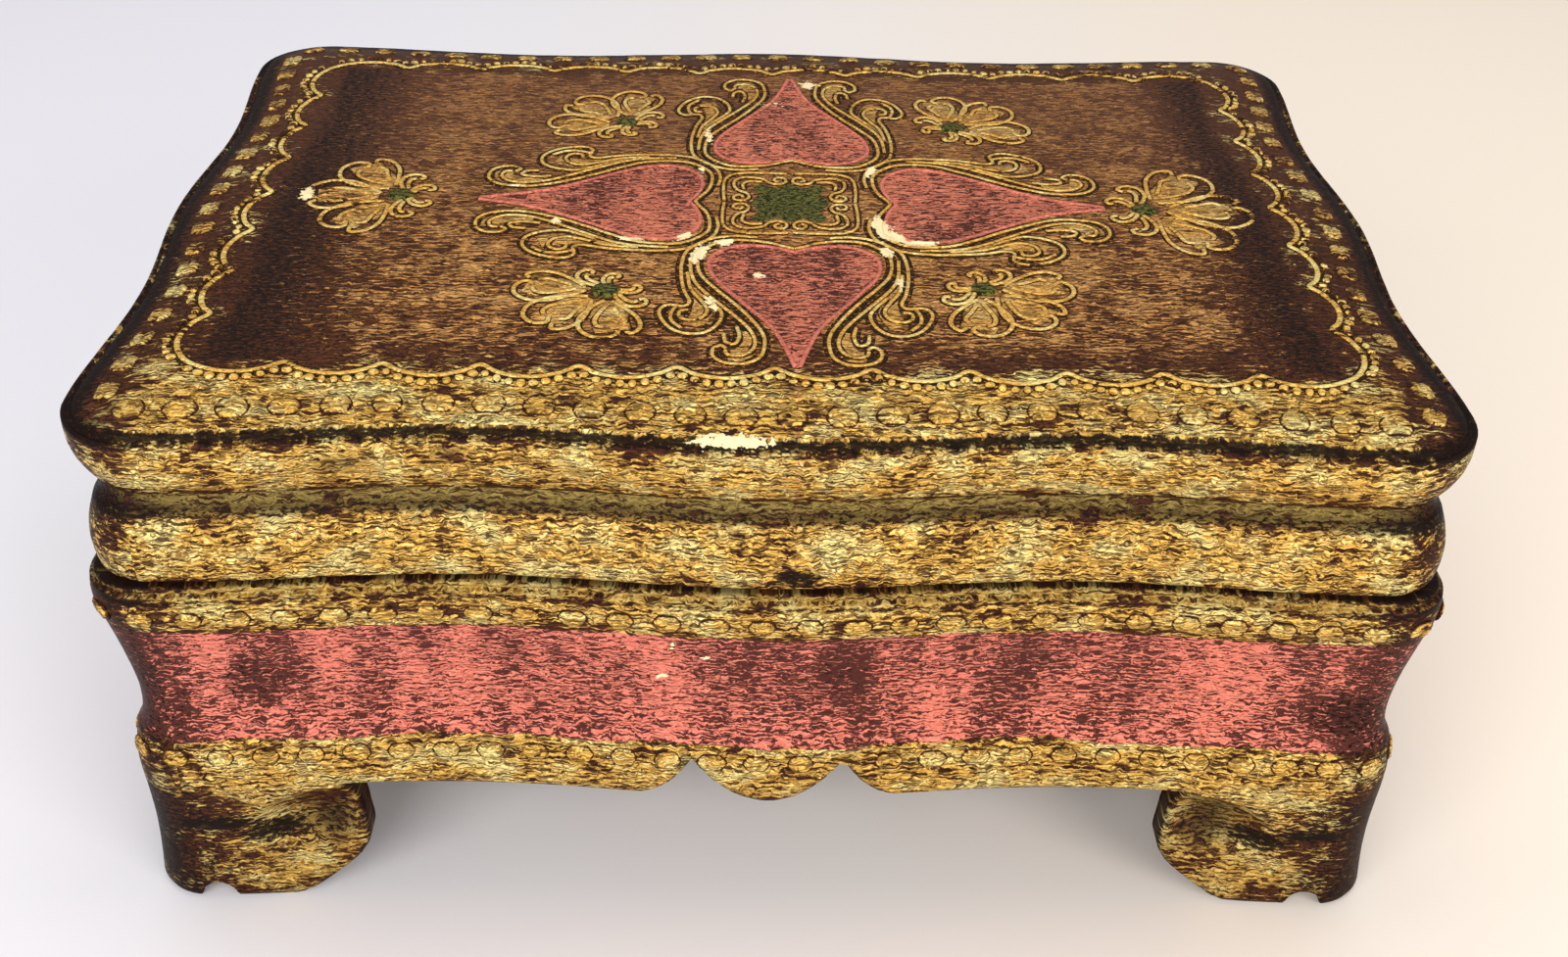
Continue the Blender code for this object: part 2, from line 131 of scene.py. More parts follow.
@dataclass(frozen=True)
class Member:
    """One moulding member, from its foot up to its head."""

    foot: float
    head: float
    foot_inset: float
    head_inset: float
    swell: float = 0.0
    steps: int = 6
    lean: float = 1.0

    def levels(self) -> list[Level]:
        """The member's surface as levels.

        Returns:
            Pairs of inset and height, foot first.
        """
        share = np.arange(self.steps + 1) / self.steps
        bow = self.swell * np.sin(np.pi * share**self.lean)
        inset = self.foot_inset + (self.head_inset - self.foot_inset) * share - bow
        return list(zip(inset, self.foot + (self.head - self.foot) * share))


class Outside:
    """Measures places against the box's widest outline."""

    def __init__(self) -> None:
        """Lays a search tree over the outline and measures along it."""
        self.outline = BOX.ring()
        step = np.linalg.norm(np.roll(self.outline, -1, 0) - self.outline, axis=1)
        self.run = np.concatenate([[0.0], np.cumsum(step)[:-1]])
        self.length = float(step.sum())
        self.tangent = np.roll(self.outline, -1, 0) - np.roll(self.outline, 1, 0)
        self.tangent /= np.linalg.norm(self.tangent, axis=1)[:, None]
        self.tree = kdtree.KDTree(len(self.outline))
        for i, (x, y) in enumerate(self.outline):
            self.tree.insert((x, y, 0.0), i)
        self.tree.balance()

    def measure(self, places: np.ndarray) -> tuple[np.ndarray, np.ndarray]:
        """Finds where places lie along the outline, and how far inside it.

        Args:
            places: An array whose first two columns are x and y.

        Returns:
            The distance along the outline and the inset, both in metres.
        """
        found = np.array([self.tree.find((x, y, 0.0))[1] for x, y in places[:, :2]], int)
        gap = places[:, :2] - self.outline[found]
        tangent = self.tangent[found]
        along = (gap * tangent).sum(1)
        inward = gap[:, 0] * -tangent[:, 1] + gap[:, 1] * tangent[:, 0]
        return self.run[found] + along, inward


def smooth(low: float, high: float, value: np.ndarray) -> np.ndarray:
    """An S-shaped ramp from 0 at low to 1 at high."""
    share = np.clip((value - low) / (high - low), 0.0, 1.0)
    return share * share * (3 - 2 * share)


class Blot(Enum):
    """What a blemish does to the finish, by the stored number that it raises."""

    KEPT = "gilt"
    TARNISH = "olive"
    # Soot and grime, and painted shade in the feet's hollows, the creases under them and the gap under the
    # lid
    GRIME_AND_SHADE = "soot_and_shade"
    LOSS = "gesso"


@dataclass(frozen=True)
class Blemish:
    """A soft ellipsoid at one place on the box, in millimetres, where the finish is marked or shade is
    painted.
    """

    blot: Blot
    centre: Size
    radii: Size
    strength: float = 1.0
    turn: float = 0.0

    def strength_at(self, places: np.ndarray) -> np.ndarray:
        """How strongly the blemish marks each place.

        Args:
            places: Rows of x, y and z, in metres.

        Returns:
            The blemish's strength in its middle, fading to 0 at its edge.
        """
        x, y, z = ((places - np.array(self.centre) * MM) / MM).T
        turn = math.radians(self.turn)
        cos, sin = math.cos(turn), math.sin(turn)
        local = np.stack([x * cos + y * sin, y * cos - x * sin, z], 1)
        reach = np.linalg.norm(local / np.array(self.radii), axis=1)
        return self.strength * np.clip(BLEMISH_FADE - BLEMISH_FADE * reach, 0.0, 1.0)


FRONT_FACE = -67.0
LID_FACE = 87.0
BLEMISH_FADE = 1.6
MARKS = {
    # Leaf kept on the feet
    Blot.KEPT: (
        ((-67.2, FRONT_FACE, 14.8), (11.0, 9.0, 9.0), 1.0),
        ((68.2, FRONT_FACE, 14.8), (11.0, 9.0, 9.0), 1.0),
        ((-73.0, FRONT_FACE, 6.0), (13.0, 8.0, 6.0), 0.95),
        ((74.0, FRONT_FACE, 6.0), (13.0, 8.0, 6.0), 0.95),
    ),
    # Olive tarnish on the slab's face and in the feet's hollows, strengthened in the hollows as painted
    # shade
    Blot.TARNISH: (
        ((-56.3, FRONT_FACE, 80.8), (5.0, 6.0, 2.6), 0.9),
        ((-42.9, FRONT_FACE, 82.0), (3.6, 6.0, 2.4), 0.9),
        ((-88.0, -62.0, 85.0), (6.0, 6.0, 3.0), 0.8),
        ((-26.0, FRONT_FACE, 80.0), (2.6, 6.0, 1.4), 0.8),
        # Olive tarnish in the feet's hollows, partly painted shade
        ((-66.6, FRONT_FACE, 15.4), (10.0, 9.0, 8.6), 1.0),
        ((67.6, FRONT_FACE, 15.4), (10.0, 9.0, 8.6), 1.0),
    ),
    # Grime in creases, in the cove and at the ends, and painted shade in the feet's hollows and the creases
    # under them
    Blot.GRIME_AND_SHADE: (
        ((-66.3, -66.0, 85.0), (4.2, 3.0, 1.2), 0.8),
        ((-51.0, -66.0, 85.6), (8.0, 2.0, 1.4), 0.9),
        ((3.6, FRONT_FACE, 63.6), (5.0, 6.0, 2.2), 1.0),
        ((7.3, FRONT_FACE, 79.4), (1.6, 6.0, 4.6), 0.55),
        ((-11.5, FRONT_FACE, 77.0), (4.0, 6.0, 2.0), 0.5),
        ((10.0, FRONT_FACE, 44.0), (7.0, 8.0, 11.0), 0.42),
        ((-20.2, FRONT_FACE, 45.0), (4.0, 8.0, 11.0), 0.3),
        ((40.0, FRONT_FACE, 42.0), (6.0, 8.0, 11.0), 0.25),
        ((86.0, FRONT_FACE, 38.0), (14.0, 12.0, 9.0), 0.6),
        ((-74.0, FRONT_FACE, 42.0), (9.0, 12.0, 9.0), 0.46),
        ((-91.0, FRONT_FACE, 43.0), (9.0, 12.0, 14.0), 0.6),
        # Painted shade in the feet's hollows
        ((-66.6, FRONT_FACE, 15.6), (9.6, 9.0, 8.0), 0.66),
        ((67.6, FRONT_FACE, 15.6), (9.6, 9.0, 8.0), 0.66),
        # Painted shadow along the creases under the feet's hollows
        ((-74.0, FRONT_FACE, 13.0), (9.0, 8.0, 2.6), 1.0),
        ((-83.0, FRONT_FACE, 15.4), (11.0, 8.0, 2.4), 1.0),
        ((75.0, FRONT_FACE, 13.0), (9.0, 8.0, 2.6), 0.95),
        ((83.5, FRONT_FACE, 14.8), (9.0, 8.0, 2.4), 0.9),
        ((3.1, -25.0, LID_FACE), (13.0, 17.0, 3.0), 0.1),
        ((-89.0, FRONT_FACE, 4.0), (5.0, 14.0, 6.0), 0.7),
        ((-93.0, FRONT_FACE, 11.0), (8.0, 14.0, 20.0), 0.9),
        ((93.5, FRONT_FACE, 14.0), (6.0, 14.0, 16.0), 0.75),
        ((-60.5, FRONT_FACE, 9.0), (3.0, 8.0, 8.0), 0.5),
        ((61.5, FRONT_FACE, 9.0), (3.0, 8.0, 8.0), 0.5),
    ),
    # Leaf and colour lost down to the gesso
    Blot.LOSS: (
        ((-5.8, -66.2, 85.4), (9.0, 2.6, 1.5), 1.0),
        ((-13.5, FRONT_FACE, 50.9), (1.1, 6.0, 0.9), 1.0),
        ((-15.4, FRONT_FACE, 44.0), (1.5, 6.0, 0.9), 1.0),
        ((-9.1, FRONT_FACE, 48.5), (1.1, 6.0, 0.6), 1.0),
        ((-73.6, -0.4, LID_FACE), (1.6, 3.2, 3.0), 1.0, 15.0),
        ((-11.3, -18.5, LID_FACE), (1.6, 5.2, 3.0), 1.0, -15.0),
        ((-7.6, -14.6, LID_FACE), (2.4, 1.5, 3.0), 1.0, 10.0),
        ((-9.2, -33.0, LID_FACE), (1.0, 4.5, 3.0), 0.75, 20.0),
        ((17.2, -17.2, LID_FACE), (1.5, 2.6, 3.0), 1.0, 20.0),
        ((16.6, -9.0, LID_FACE), (1.8, 6.4, 3.0), 1.0, 12.0),
        ((18.6, -12.2, LID_FACE), (2.2, 2.6, 3.0), 1.0, 35.0),
        ((22.5, -14.2, LID_FACE), (4.0, 1.3, 3.0), 1.0),
        ((18.6, -27.0, LID_FACE), (0.8, 3.0, 3.0), 0.8),
        ((-22.0, -14.0, LID_FACE), (3.0, 1.0, 3.0), 1.0, -8.0),
        ((-13.6, -12.8, LID_FACE), (2.6, 1.1, 3.0), 1.0, 40.0),
        ((-33.8, -8.6, LID_FACE), (1.6, 1.2, 3.0), 1.0, -40.0),
        ((-11.8, 10.0, LID_FACE), (0.9, 3.0, 3.0), 0.6),
        ((-10.8, 24.0, LID_FACE), (0.9, 5.0, 3.0), 0.8),
        ((16.0, 11.0, LID_FACE), (1.1, 3.4, 3.0), 0.9, -20.0),
        ((6.5, 46.5, LID_FACE), (2.6, 3.0, 3.0), 0.8),
        ((1.0, 37.5, LID_FACE), (7.0, 1.3, 3.0), 0.6),
        ((-2.2, -24.6, LID_FACE), (1.6, 1.2, 3.0), 0.9, 40.0),
        ((-41.0, 3.8, LID_FACE), (2.0, 0.8, 3.0), 0.8, 10.0),
    ),
}
BLEMISHES = [Blemish(blot, *mark) for blot, marks in MARKS.items() for mark in marks]


@dataclass(frozen=True)
class Coat:
    """What the finish looks like at one height of a moulded side."""

    height: float
    gilt: float
    olive: float
    soot_and_shade: float


BODY_COATS = (
    Coat(0.0, 0.45, 0.3, 0.6),
    Coat(2.0, 0.70, 0.4, 0.35),
    Coat(9.0, 0.72, 0.4, 0.25),
    Coat(15.0, 0.60, 0.3, 0.3),
    Coat(21.0, 0.68, 0.3, 0.3),
    Coat(24.0, 0.86, 0.15, 0.1),
    Coat(31.0, 0.80, 0.15, 0.15),
    Coat(53.5, 0.66, 0.1, 0.15),
    Coat(56.8, 0.72, 0.1, 0.1),
    Coat(57.6, 0.95, 0.1, 0.1),
    Coat(58.3, 0.75, 0.2, 0.2),
    Coat(58.7, 0.60, 0.3, 0.7),
    Coat(59.1, 0.85, 0.6, 0.2),
    Coat(60.3, 0.88, 0.7, 0.1),
    # Painted shadow of the gap under the lid: soot darkens the rim's top edge
    Coat(60.7, 0.7, 0.7, 0.6),
)
LID_COATS = (
    # Painted shadow in the gap: soot blackens the lid's foot, fading out by 62.0
    Coat(61.0, 0.4, 0.2, 1.0),
    Coat(61.4, 0.6, 0.2, 0.5),
    Coat(62.0, 0.82, 0.1, 0.05),
    Coat(66.0, 0.94, 0.05, 0.0),
    Coat(70.8, 0.86, 0.1, 0.15),
    # From 71.5 up to 75.0 lies the hollow under the slab's overhang: olive tarnish, with soot that is
    # partly painted shade beneath the overhang
    Coat(71.5, 0.80, 0.6, 0.6),
    Coat(72.1, 0.90, 1.0, 0.6),
    Coat(72.8, 1.0, 1.0, 0.3),
    Coat(74.7, 1.0, 1.0, 0.1),
    Coat(75.0, 0.35, 0.1, 0.5),
    Coat(76.0, 0.76, 0.05, 0.2),
    Coat(79.0, 0.92, 0.05, 0.05),
    Coat(83.2, 0.82, 0.05, 0.1),
    Coat(84.3, 0.6, 0.3, 0.5),
)


def coat_at(coats: Sequence[Coat], heights: np.ndarray) -> dict[str, np.ndarray]:
    """The finish at each height.

    Args:
        coats: The finish at a few heights, lowest first.
        heights: The heights, in metres.

    Returns:
        The shares of gilt, olive, and soot with painted shade, at every height.
    """
    known = [coat.height * MM for coat in coats]
    return {
        name: np.interp(heights, known, [getattr(coat, name) for coat in coats])
        for name in ("gilt", "olive", "soot_and_shade")
    }


@dataclass
class WearAndShade:
    """Works out how worn the finish is at every point of a mesh, and where shade is painted on it, and
    stores both there.
    """

    outside: Outside
    end_loss: float = 0.30
    end_soot: float = 0.42
    top_height: float = 0.0848
    top_inset: float = 0.0022

    def top(self, places: np.ndarray, inset: np.ndarray) -> dict[str, np.ndarray]:
        """The finish over the lid's top: a brown field, gilded borders, black margins and painted shade
        toward the back.

        Args:
            places: Rows of x, y and z, in metres.
            inset: How far inside the box's outline each one is.

        Returns:
            The stored numbers by name.
        """
        x, y, inward = places[:, 0] / MM, places[:, 1] / MM, inset / MM
        front = smooth(0.0, 1.0, -(y + 46.0) / 6.0) * (1 - smooth(80.0, 90.0, np.abs(x)))
        inside = smooth(15.0, 17.5, inward)
        back = smooth(-30.0, 40.0, y)
        margin = np.maximum(smooth(60.0, 76.0, x), smooth(52.0, 76.0, -x))
        motif = 1 - smooth(14.0, 52.0, np.hypot(x - 3.0, 1.25 * (y + 4.0)))
        brush = unevenness(places * (1.0, 0.2, 1.0), 0.009, 4.0) * (0.3 + 0.7 * back)
        ground = 0.63 + 0.12 * motif - 0.42 * margin + 0.2 * brush - 0.14 * smooth(-38.0, -48.0, y)
        coins = smooth(3.4, 1.8, np.abs(inward - 6.2)) * (0.10 + 0.12 * smooth(-20.0, 60.0, x))
        border = 0.32 + front * (0.20 + 0.40 * smooth(14.5, 10.0, inward) - coins)
        rim = smooth(5.5, 2.0, inward) * (1 - front)
        groove = smooth(3.0, 2.1, inward)
        soot_and_shade = (0.1 + 0.6 * margin) * inside + 0.35 * (1 - inside) * (1 - front) + 0.7 * rim
        return {
            "gilt": border + (ground - border) * inside - 0.3 * rim,
            "olive": 0.1 + 0.2 * rim,
            "soot_and_shade": np.maximum(soot_and_shade, groove),
            "bronze": inside * (0.85 + 0.1 * back),
            # Painted shade: the lid darkens toward the back, where less light falls, and partly the darker
            # aged surface there
            "back_shade_and_age": 0.62 * back * inside + 0.35 * back * (1 - inside),
        }

    def lay(
        self, mesh: bpy.types.Mesh, coats: Sequence[Coat], lift: float = 0.0, dulling_and_shade: float = 1.0
    ) -> None:
        """Stores the wear and the grain on a finished mesh.

        Args:
            mesh: The mesh, in its final place.
            coats: The finish up the moulded sides.
            lift: How much more gold the piece keeps than the ground round it.
            dulling_and_shade: The share of the ground's dulling, soot and painted shade that the piece has.
        """
        places = read_places(mesh)
        run, inset = self.outside.measure(places)
        share = coat_at(coats, places[:, 2])
        share["bronze"] = share["back_shade_and_age"] = share["gesso"] = np.zeros(len(places))
        near_corner = 0.3 + 0.7 * smooth(44.0, 60.0, np.abs(places[:, 1]) / MM)
        ends = smooth(76.0, 92.0, np.abs(places[:, 0]) / MM) * near_corner
        share["gilt"] = share["gilt"] - self.end_loss * ends
        share["soot_and_shade"] = share["soot_and_shade"] + self.end_soot * ends
        if coats is LID_COATS:
            up = smooth(84.05, 84.3, places[:, 2] / MM) * smooth(0.7, 1.2, inset / MM)
            for name, upper in self.top(places, inset).items():
                share[name] = share[name] + (upper - share[name]) * up
        share["gilt"] = share["gilt"] + lift
        for name in ("bronze", "back_shade_and_age", "soot_and_shade"):
            share[name] = share[name] * dulling_and_shade
        for blemish in BLEMISHES:
            name = blemish.blot.value
            share[name] = np.maximum(share[name], blemish.strength_at(places))
        for name, values in share.items():
            store(mesh, name, np.clip(values, 0.0, 1.0))
        self.lay_grain(mesh, places, run, inset)

    def lay_grain(
        self, mesh: bpy.types.Mesh, places: np.ndarray, run: np.ndarray, inset: np.ndarray
    ) -> None:
        """Stores grain coordinates in millimetres: along the sides and up, or across the top.

        Args:
            mesh: The mesh.
            places: Its points as rows of x, y and z.
            run: How far along the box's outline each point is, in metres.
            inset: How far inside the outline each point is, in metres.
        """
        corners = np.zeros(len(mesh.loops), np.int32)
        mesh.loops.foreach_get("vertex_index", corners)
        starts = np.zeros(len(mesh.polygons), np.int32)
        mesh.polygons.foreach_get("loop_start", starts)
        sizes = np.zeros(len(mesh.polygons), np.int32)
        mesh.polygons.foreach_get("loop_total", sizes)
        face = np.repeat(np.arange(len(starts)), sizes)
        # A face over the outline's end goes on past the full length instead of back to its start
        along, length = run[corners] / MM, self.outside.length / MM
        widest = np.maximum.reduceat(along, starts)
        along = np.where(widest[face] - along > length / 2, along + length, along)
        flat = (places[:, 2] > self.top_height) & (inset > self.top_inset)
        on_top = np.logical_and.reduceat(flat[corners], starts)[face]
        grain = np.zeros((len(corners), 3), np.float32)
        grain[:, 0] = np.where(on_top, places[corners, 0] / MM, along)
        grain[:, 1] = np.where(on_top, places[corners, 1], places[corners, 2]) / MM
        layer = mesh.attributes.new("grain", "FLOAT_VECTOR", "CORNER")
        layer.data.foreach_set("vector", grain.ravel())


def read_places(mesh: bpy.types.Mesh) -> np.ndarray:
    """The mesh's points as rows of x, y and z."""
    flat = np.zeros(len(mesh.vertices) * 3, np.float32)
    mesh.vertices.foreach_get("co", flat)
    return flat.reshape(-1, 3).astype(float)


def write_places(mesh: bpy.types.Mesh, places: np.ndarray) -> None:
    """Moves the mesh's points."""
    mesh.vertices.foreach_set("co", places.astype(np.float32).ravel())
    mesh.update()


def store(mesh: bpy.types.Mesh, name: str, values: np.ndarray) -> None:
    """Stores one number a point under a name that materials read."""
    layer = mesh.attributes.get(name) or mesh.attributes.new(name, "FLOAT", "POINT")
    layer.data.foreach_set("value", values.astype(np.float32))


def read_values(mesh: bpy.types.Mesh, name: str) -> np.ndarray:
    """One of the numbers stored on the mesh's points."""
    values = np.zeros(len(mesh.vertices), np.float32)
    mesh.attributes[name].data.foreach_get("value", values)
    return values


def add_piece(name: str, mesh: bpy.types.Mesh) -> bpy.types.Object:
    """Links a mesh into the scene as a smooth-shaded piece at the origin.

    Args:
        name: The piece's name.
        mesh: Its mesh.

    Returns:
        The piece.
    """
    mesh.shade_smooth()
    piece = bpy.data.objects.new(name, mesh)
    bpy.context.scene.collection.objects.link(piece)
    return piece


def loft(name: str, rings: Sequence[np.ndarray]) -> bpy.types.Mesh:
    """A closed mesh through rings of equal count, with a point in the middle of each end ring.

    Args:
        name: The mesh's name.
        rings: Arrays of x, y, z rows, from one end of the surface to the other.

    Returns:
        The mesh, with its faces turned outwards.
    """
    count = len(rings[0])
    points = np.concatenate([*rings, [rings[0].mean(0)], [rings[-1].mean(0)]])
    index = np.arange(count)
    after = np.roll(index, -1)
    quads = [
        np.stack([index, after, after + count, index + count], 1) + step * count
        for step in range(len(rings) - 1)
    ]
    last = (len(rings) - 1) * count
    first_cap = np.stack([after, index, np.full(count, len(points) - 2)], 1)
    last_cap = np.stack([index + last, after + last, np.full(count, len(points) - 1)], 1)
    mesh = bpy.data.meshes.new(name)
    faces = [part.tolist() for part in (*quads, first_cap, last_cap)]
    mesh.from_pydata(points.tolist(), [], list(chain.from_iterable(faces)))
    solid = bmesh.new()
    solid.from_mesh(mesh)
    bmesh.ops.recalc_face_normals(solid, faces=solid.faces)
    solid.to_mesh(mesh)
    solid.free()
    return mesh


CAP_RINGS = (0.1, 0.4, 0.7)


def at_height(ring: np.ndarray, height: float) -> np.ndarray:
    """A plan ring lifted to a height."""
    return np.column_stack([ring, np.full(len(ring), height)])


def unevenness(places: np.ndarray, pitch: float, seed: float) -> np.ndarray:
    """A gentle hand-made unevenness at each place, about -1 to 1."""
    return np.array([noise.noise(Vector(row)) for row in places / pitch + seed])


def shade(red: int, green: int, blue: int) -> tuple[float, float, float, float]:
    """A colour as seen, 0 to 255, made linear for a shader."""
    linear = [(part / 255 + 0.055) / 1.055 for part in (red, green, blue)]
    return (*(value**2.4 if value > 0.09 else value / 13.6 for value in linear), 1.0)


@dataclass(frozen=True)
class Palette:
    """The colours of the finish, from leaf down to grime and painted shade."""

    gold_pale: tuple = shade(255, 236, 152)
    gold_bright: tuple = shade(255, 210, 104)
    gold_deep: tuple = shade(214, 152, 62)
    bronze_light: tuple = shade(246, 176, 100)
    bronze_deep: tuple = shade(168, 106, 56)
    olive_light: tuple = shade(160, 138, 76)
    olive_deep: tuple = shade(102, 84, 38)
    # Olive darkened as painted shade, as in the feet's hollows
    olive_shade: tuple = shade(48, 39, 20)
    glaze_brown: tuple = shade(100, 58, 30)
    glaze_plum: tuple = shade(66, 34, 26)
    glaze_black: tuple = shade(34, 18, 13)
    # Painted shade laid over the lid toward its back
    back_shade_umber: tuple = shade(88, 56, 40)
    coral_light: tuple = shade(220, 134, 114)
    coral_deep: tuple = shade(188, 94, 78)
    rust: tuple = shade(38, 18, 17)
    green_light: tuple = shade(98, 96, 44)
    green_deep: tuple = shade(26, 32, 12)
    gesso: tuple = shade(234, 217, 170)
    channel: tuple = shade(38, 27, 13)
    # The colour of grime, and of painted shade where soot_and_shade is high
    grime_and_shade: tuple = shade(22, 14, 11)


@dataclass(frozen=True)
class Pattern:
    """How often a noise or a net of cracks repeats along and across the grain, per millimetre."""

    along: float
    across: float
    detail: float = 3.0
    roughness: float = 0.5
    start: Place = (0.0, 0.0)


@dataclass(frozen=True)
class Patterns:
    """The patterns of the finish. A start of its own keeps one clear of the others."""

    streak: Pattern = Pattern(0.42, 1.7, 5.0, 0.62)
    patch: Pattern = Pattern(0.12, 0.2)
    fine: Pattern = Pattern(1.3, 3.6, 3.0, 0.6)
    crackle: Pattern = Pattern(0.5, 1.0)
    nets: Pattern = Pattern(1.0, 1.7, start=(31.0, 17.0))
    drawn: Pattern = Pattern(0.35, 2.7, 3.0, 0.6, (5.0, 9.0))
    narrow: Pattern = Pattern(0.40, 2.1, 4.0, 0.65, (13.0, 2.0))
    drag: Pattern = Pattern(0.34, 2.8, 4.0, 0.62, (7.0, 3.0))
    pitted: Pattern = Pattern(1.3, 2.4, 3.0, 0.6, (2.0, 6.0))
    zones: Pattern = Pattern(0.10, 0.03, 2.0, start=(4.0, 1.0))
    pits: Pattern = Pattern(0.9, 2.2, 4.0, 0.62, (11.0, 5.0))
    flakes: Pattern = Pattern(1.0, 1.3, 4.0, 0.6, (3.0, 8.0))
    silt: Pattern = Pattern(1.1, 2.2, 4.0, 0.6)


PALETTE = Palette()
PATTERNS = Patterns()


class Wiring:
    """Adds nodes to one tree and wires them, a call a node."""

    def __init__(self, tree: bpy.types.NodeTree) -> None:
        """Keeps the tree that the nodes go into."""
        self.tree = tree

    def node(self, kind: str, inputs: dict | None = None, **settings: object) -> bpy.types.Node:
        """Adds a node.

        Args:
            kind: The node's type name.
            inputs: Sockets, values or colours by the input's name or number.
            **settings: The node's own options.

        Returns:
            The node.
        """
        made = self.tree.nodes.new(kind)
        for option, value in settings.items():
            setattr(made, option, value)
        self.wire(made, inputs or {})
        return made

    def wire(self, node: bpy.types.Node, inputs: dict) -> None:
        """Links or sets a node's inputs.

        Args:
            node: The node.
            inputs: Sockets, values or colours by the input's name or number.
        """
        for key, value in inputs.items():
            if isinstance(value, Socket):
                self.tree.links.new(value, node.inputs[key])
            else:
                node.inputs[key].default_value = value


class Graph(Wiring):
    """One material's tree: a Principled shader and the sums, ramps and noises that feed it."""

    def __init__(self, name: str) -> None:
        """Starts the material.

        Args:
            name: The material's name.
        """
        self.material = bpy.data.materials.new(name)
        self.material.use_nodes = True
        super().__init__(self.material.node_tree)
        self.shader = self.tree.nodes["Principled BSDF"]

    def mask(self, name: str) -> Socket:
        """One of the mesh's stored numbers."""
        return self.node("ShaderNodeAttribute", attribute_name=name).outputs["Fac"]

    def vector(self, name: str) -> Socket:
        """One of the mesh's stored vectors."""
        return self.node("ShaderNodeAttribute", attribute_name=name).outputs["Vector"]

    def math(self, operation: str, a: object, b: object = 0.0, clamp: bool = False) -> Socket:
        """The outcome of an operation on numbers or sockets."""
        made = self.node("ShaderNodeMath", {0: a, 1: b}, operation=operation, use_clamp=clamp)
        return made.outputs[0]

    def plus(self, a: object, b: object) -> Socket:
        """Two numbers or sockets added."""
        return self.math("ADD", a, b)

    def minus(self, a: object, b: object) -> Socket:
        """One number or socket less another."""
        return self.math("SUBTRACT", a, b)

    def times(self, a: object, b: object) -> Socket:
        """Two numbers or sockets multiplied."""
        return self.math("MULTIPLY", a, b)

    def most(self, a: object, b: object) -> Socket:
        """The greater of two numbers or sockets."""
        return self.math("MAXIMUM", a, b)

    def total(self, *parts: tuple[Socket, float]) -> Socket:
        """The sum of several sockets, each times its own share."""
        return reduce(self.plus, [self.times(socket, share) for socket, share in parts])

    def stretch(self, place: Socket, scale: Sequence[float]) -> Socket:
        """A place multiplied by a scale for each axis."""
        return self.node("ShaderNodeVectorMath", {0: place, 1: scale}, operation="MULTIPLY").outputs[0]

    def shift(self, place: Socket, move: object) -> Socket:
        """A place moved by a vector."""
        return self.node("ShaderNodeVectorMath", {0: place, 1: move}, operation="ADD").outputs[0]

    def ramp(
        self, value: object, low: object, high: object, to_low: float = 0.0, to_high: float = 1.0
    ) -> Socket:
        """An S-shaped ramp of a value from one span to another."""
        ends = {"Value": value, "From Min": low, "From Max": high, "To Min": to_low, "To Max": to_high}
        return self.node("ShaderNodeMapRange", ends, interpolation_type="SMOOTHSTEP").outputs[0]

    def blend(self, share: object, a: object, b: object) -> Socket:
        """A number between two numbers or sockets."""
        return self.node("ShaderNodeMix", {0: share, 2: a, 3: b}).outputs[0]

    def mix(self, share: object, a: object, b: object) -> Socket:
        """A colour between two colours or sockets."""
        return self.node("ShaderNodeMix", {0: share, 6: a, 7: b}, data_type="RGBA").outputs[2]

    def on_pattern(self, place: Socket, pattern: Pattern) -> dict:
        """A texture's inputs for a place on a pattern's own scale."""
        if any(pattern.start):
            place = self.shift(place, (*pattern.start, 0.0))
        return {"Vector": self.stretch(place, (pattern.along, pattern.across, 1.0)), "Scale": 1.0}

    def noise(self, place: Socket, pattern: Pattern) -> Socket:
        """Soft noise over a place, about 0.3 to 0.7."""
        kind = {"Detail": pattern.detail, "Roughness": pattern.roughness}
        return self.node("ShaderNodeTexNoise", self.on_pattern(place, pattern) | kind).outputs[0]

    def cracks(self, place: Socket, pattern: Pattern, thickness: float) -> Socket:
        """1 along the cracks between a pattern's cells, 0 inside the cells."""
        inputs = self.on_pattern(place, pattern)
        cells = self.node("ShaderNodeTexVoronoi", inputs, feature="DISTANCE_TO_EDGE")
        return self.ramp(cells.outputs["Distance"], thickness, 0.25 * thickness)

    def chipped(self, grain: Socket, colour: Socket) -> tuple[Socket, Socket]:
        """Bare gesso where the finish has flaked off.

        Args:
            grain: Place along and across the grain, in millimetres.
            colour: The finish.

        Returns:
            The colour, and 1 where it is bare gesso.
        """
        flakes = self.times(self.noise(grain, PATTERNS.flakes), 2.2)
        chip = self.ramp(self.plus(self.mask("gesso"), flakes), 1.62, 1.72)
        return self.mix(chip, colour, PALETTE.gesso), chip


class GrainGraph(Graph):
    """A material's tree with the noises that all the layers of a finish share."""

    def __init__(self, name: str) -> None:
        """Reads the grain, lets it wander a little and lays the shared noises over it.

        Args:
            name: The material's name.
        """
        super().__init__(name)
        self.grain = self.vector("grain")
        swirl = {"Vector": self.grain, "Scale": 0.55, "Detail": 2.0}
        wander = self.node("ShaderNodeTexNoise", swirl).outputs[1]
        drift = self.stretch(self.shift(wander, (-0.5, -0.5, -0.5)), (3.2, 1.6, 0.0))
        self.place = self.shift(self.grain, drift)
        self.streak = self.noise(self.place, PATTERNS.streak)
        self.patch = self.noise(self.grain, PATTERNS.patch)
        self.fine = self.noise(self.place, PATTERNS.fine)


class Paint(Enum):
    """Where flat colour lies on a piece, besides gold."""

    NONE = "none"
    COVE = "cove"
    HEARTS = "hearts"
    GREEN = "green"
    CORAL = "coral"


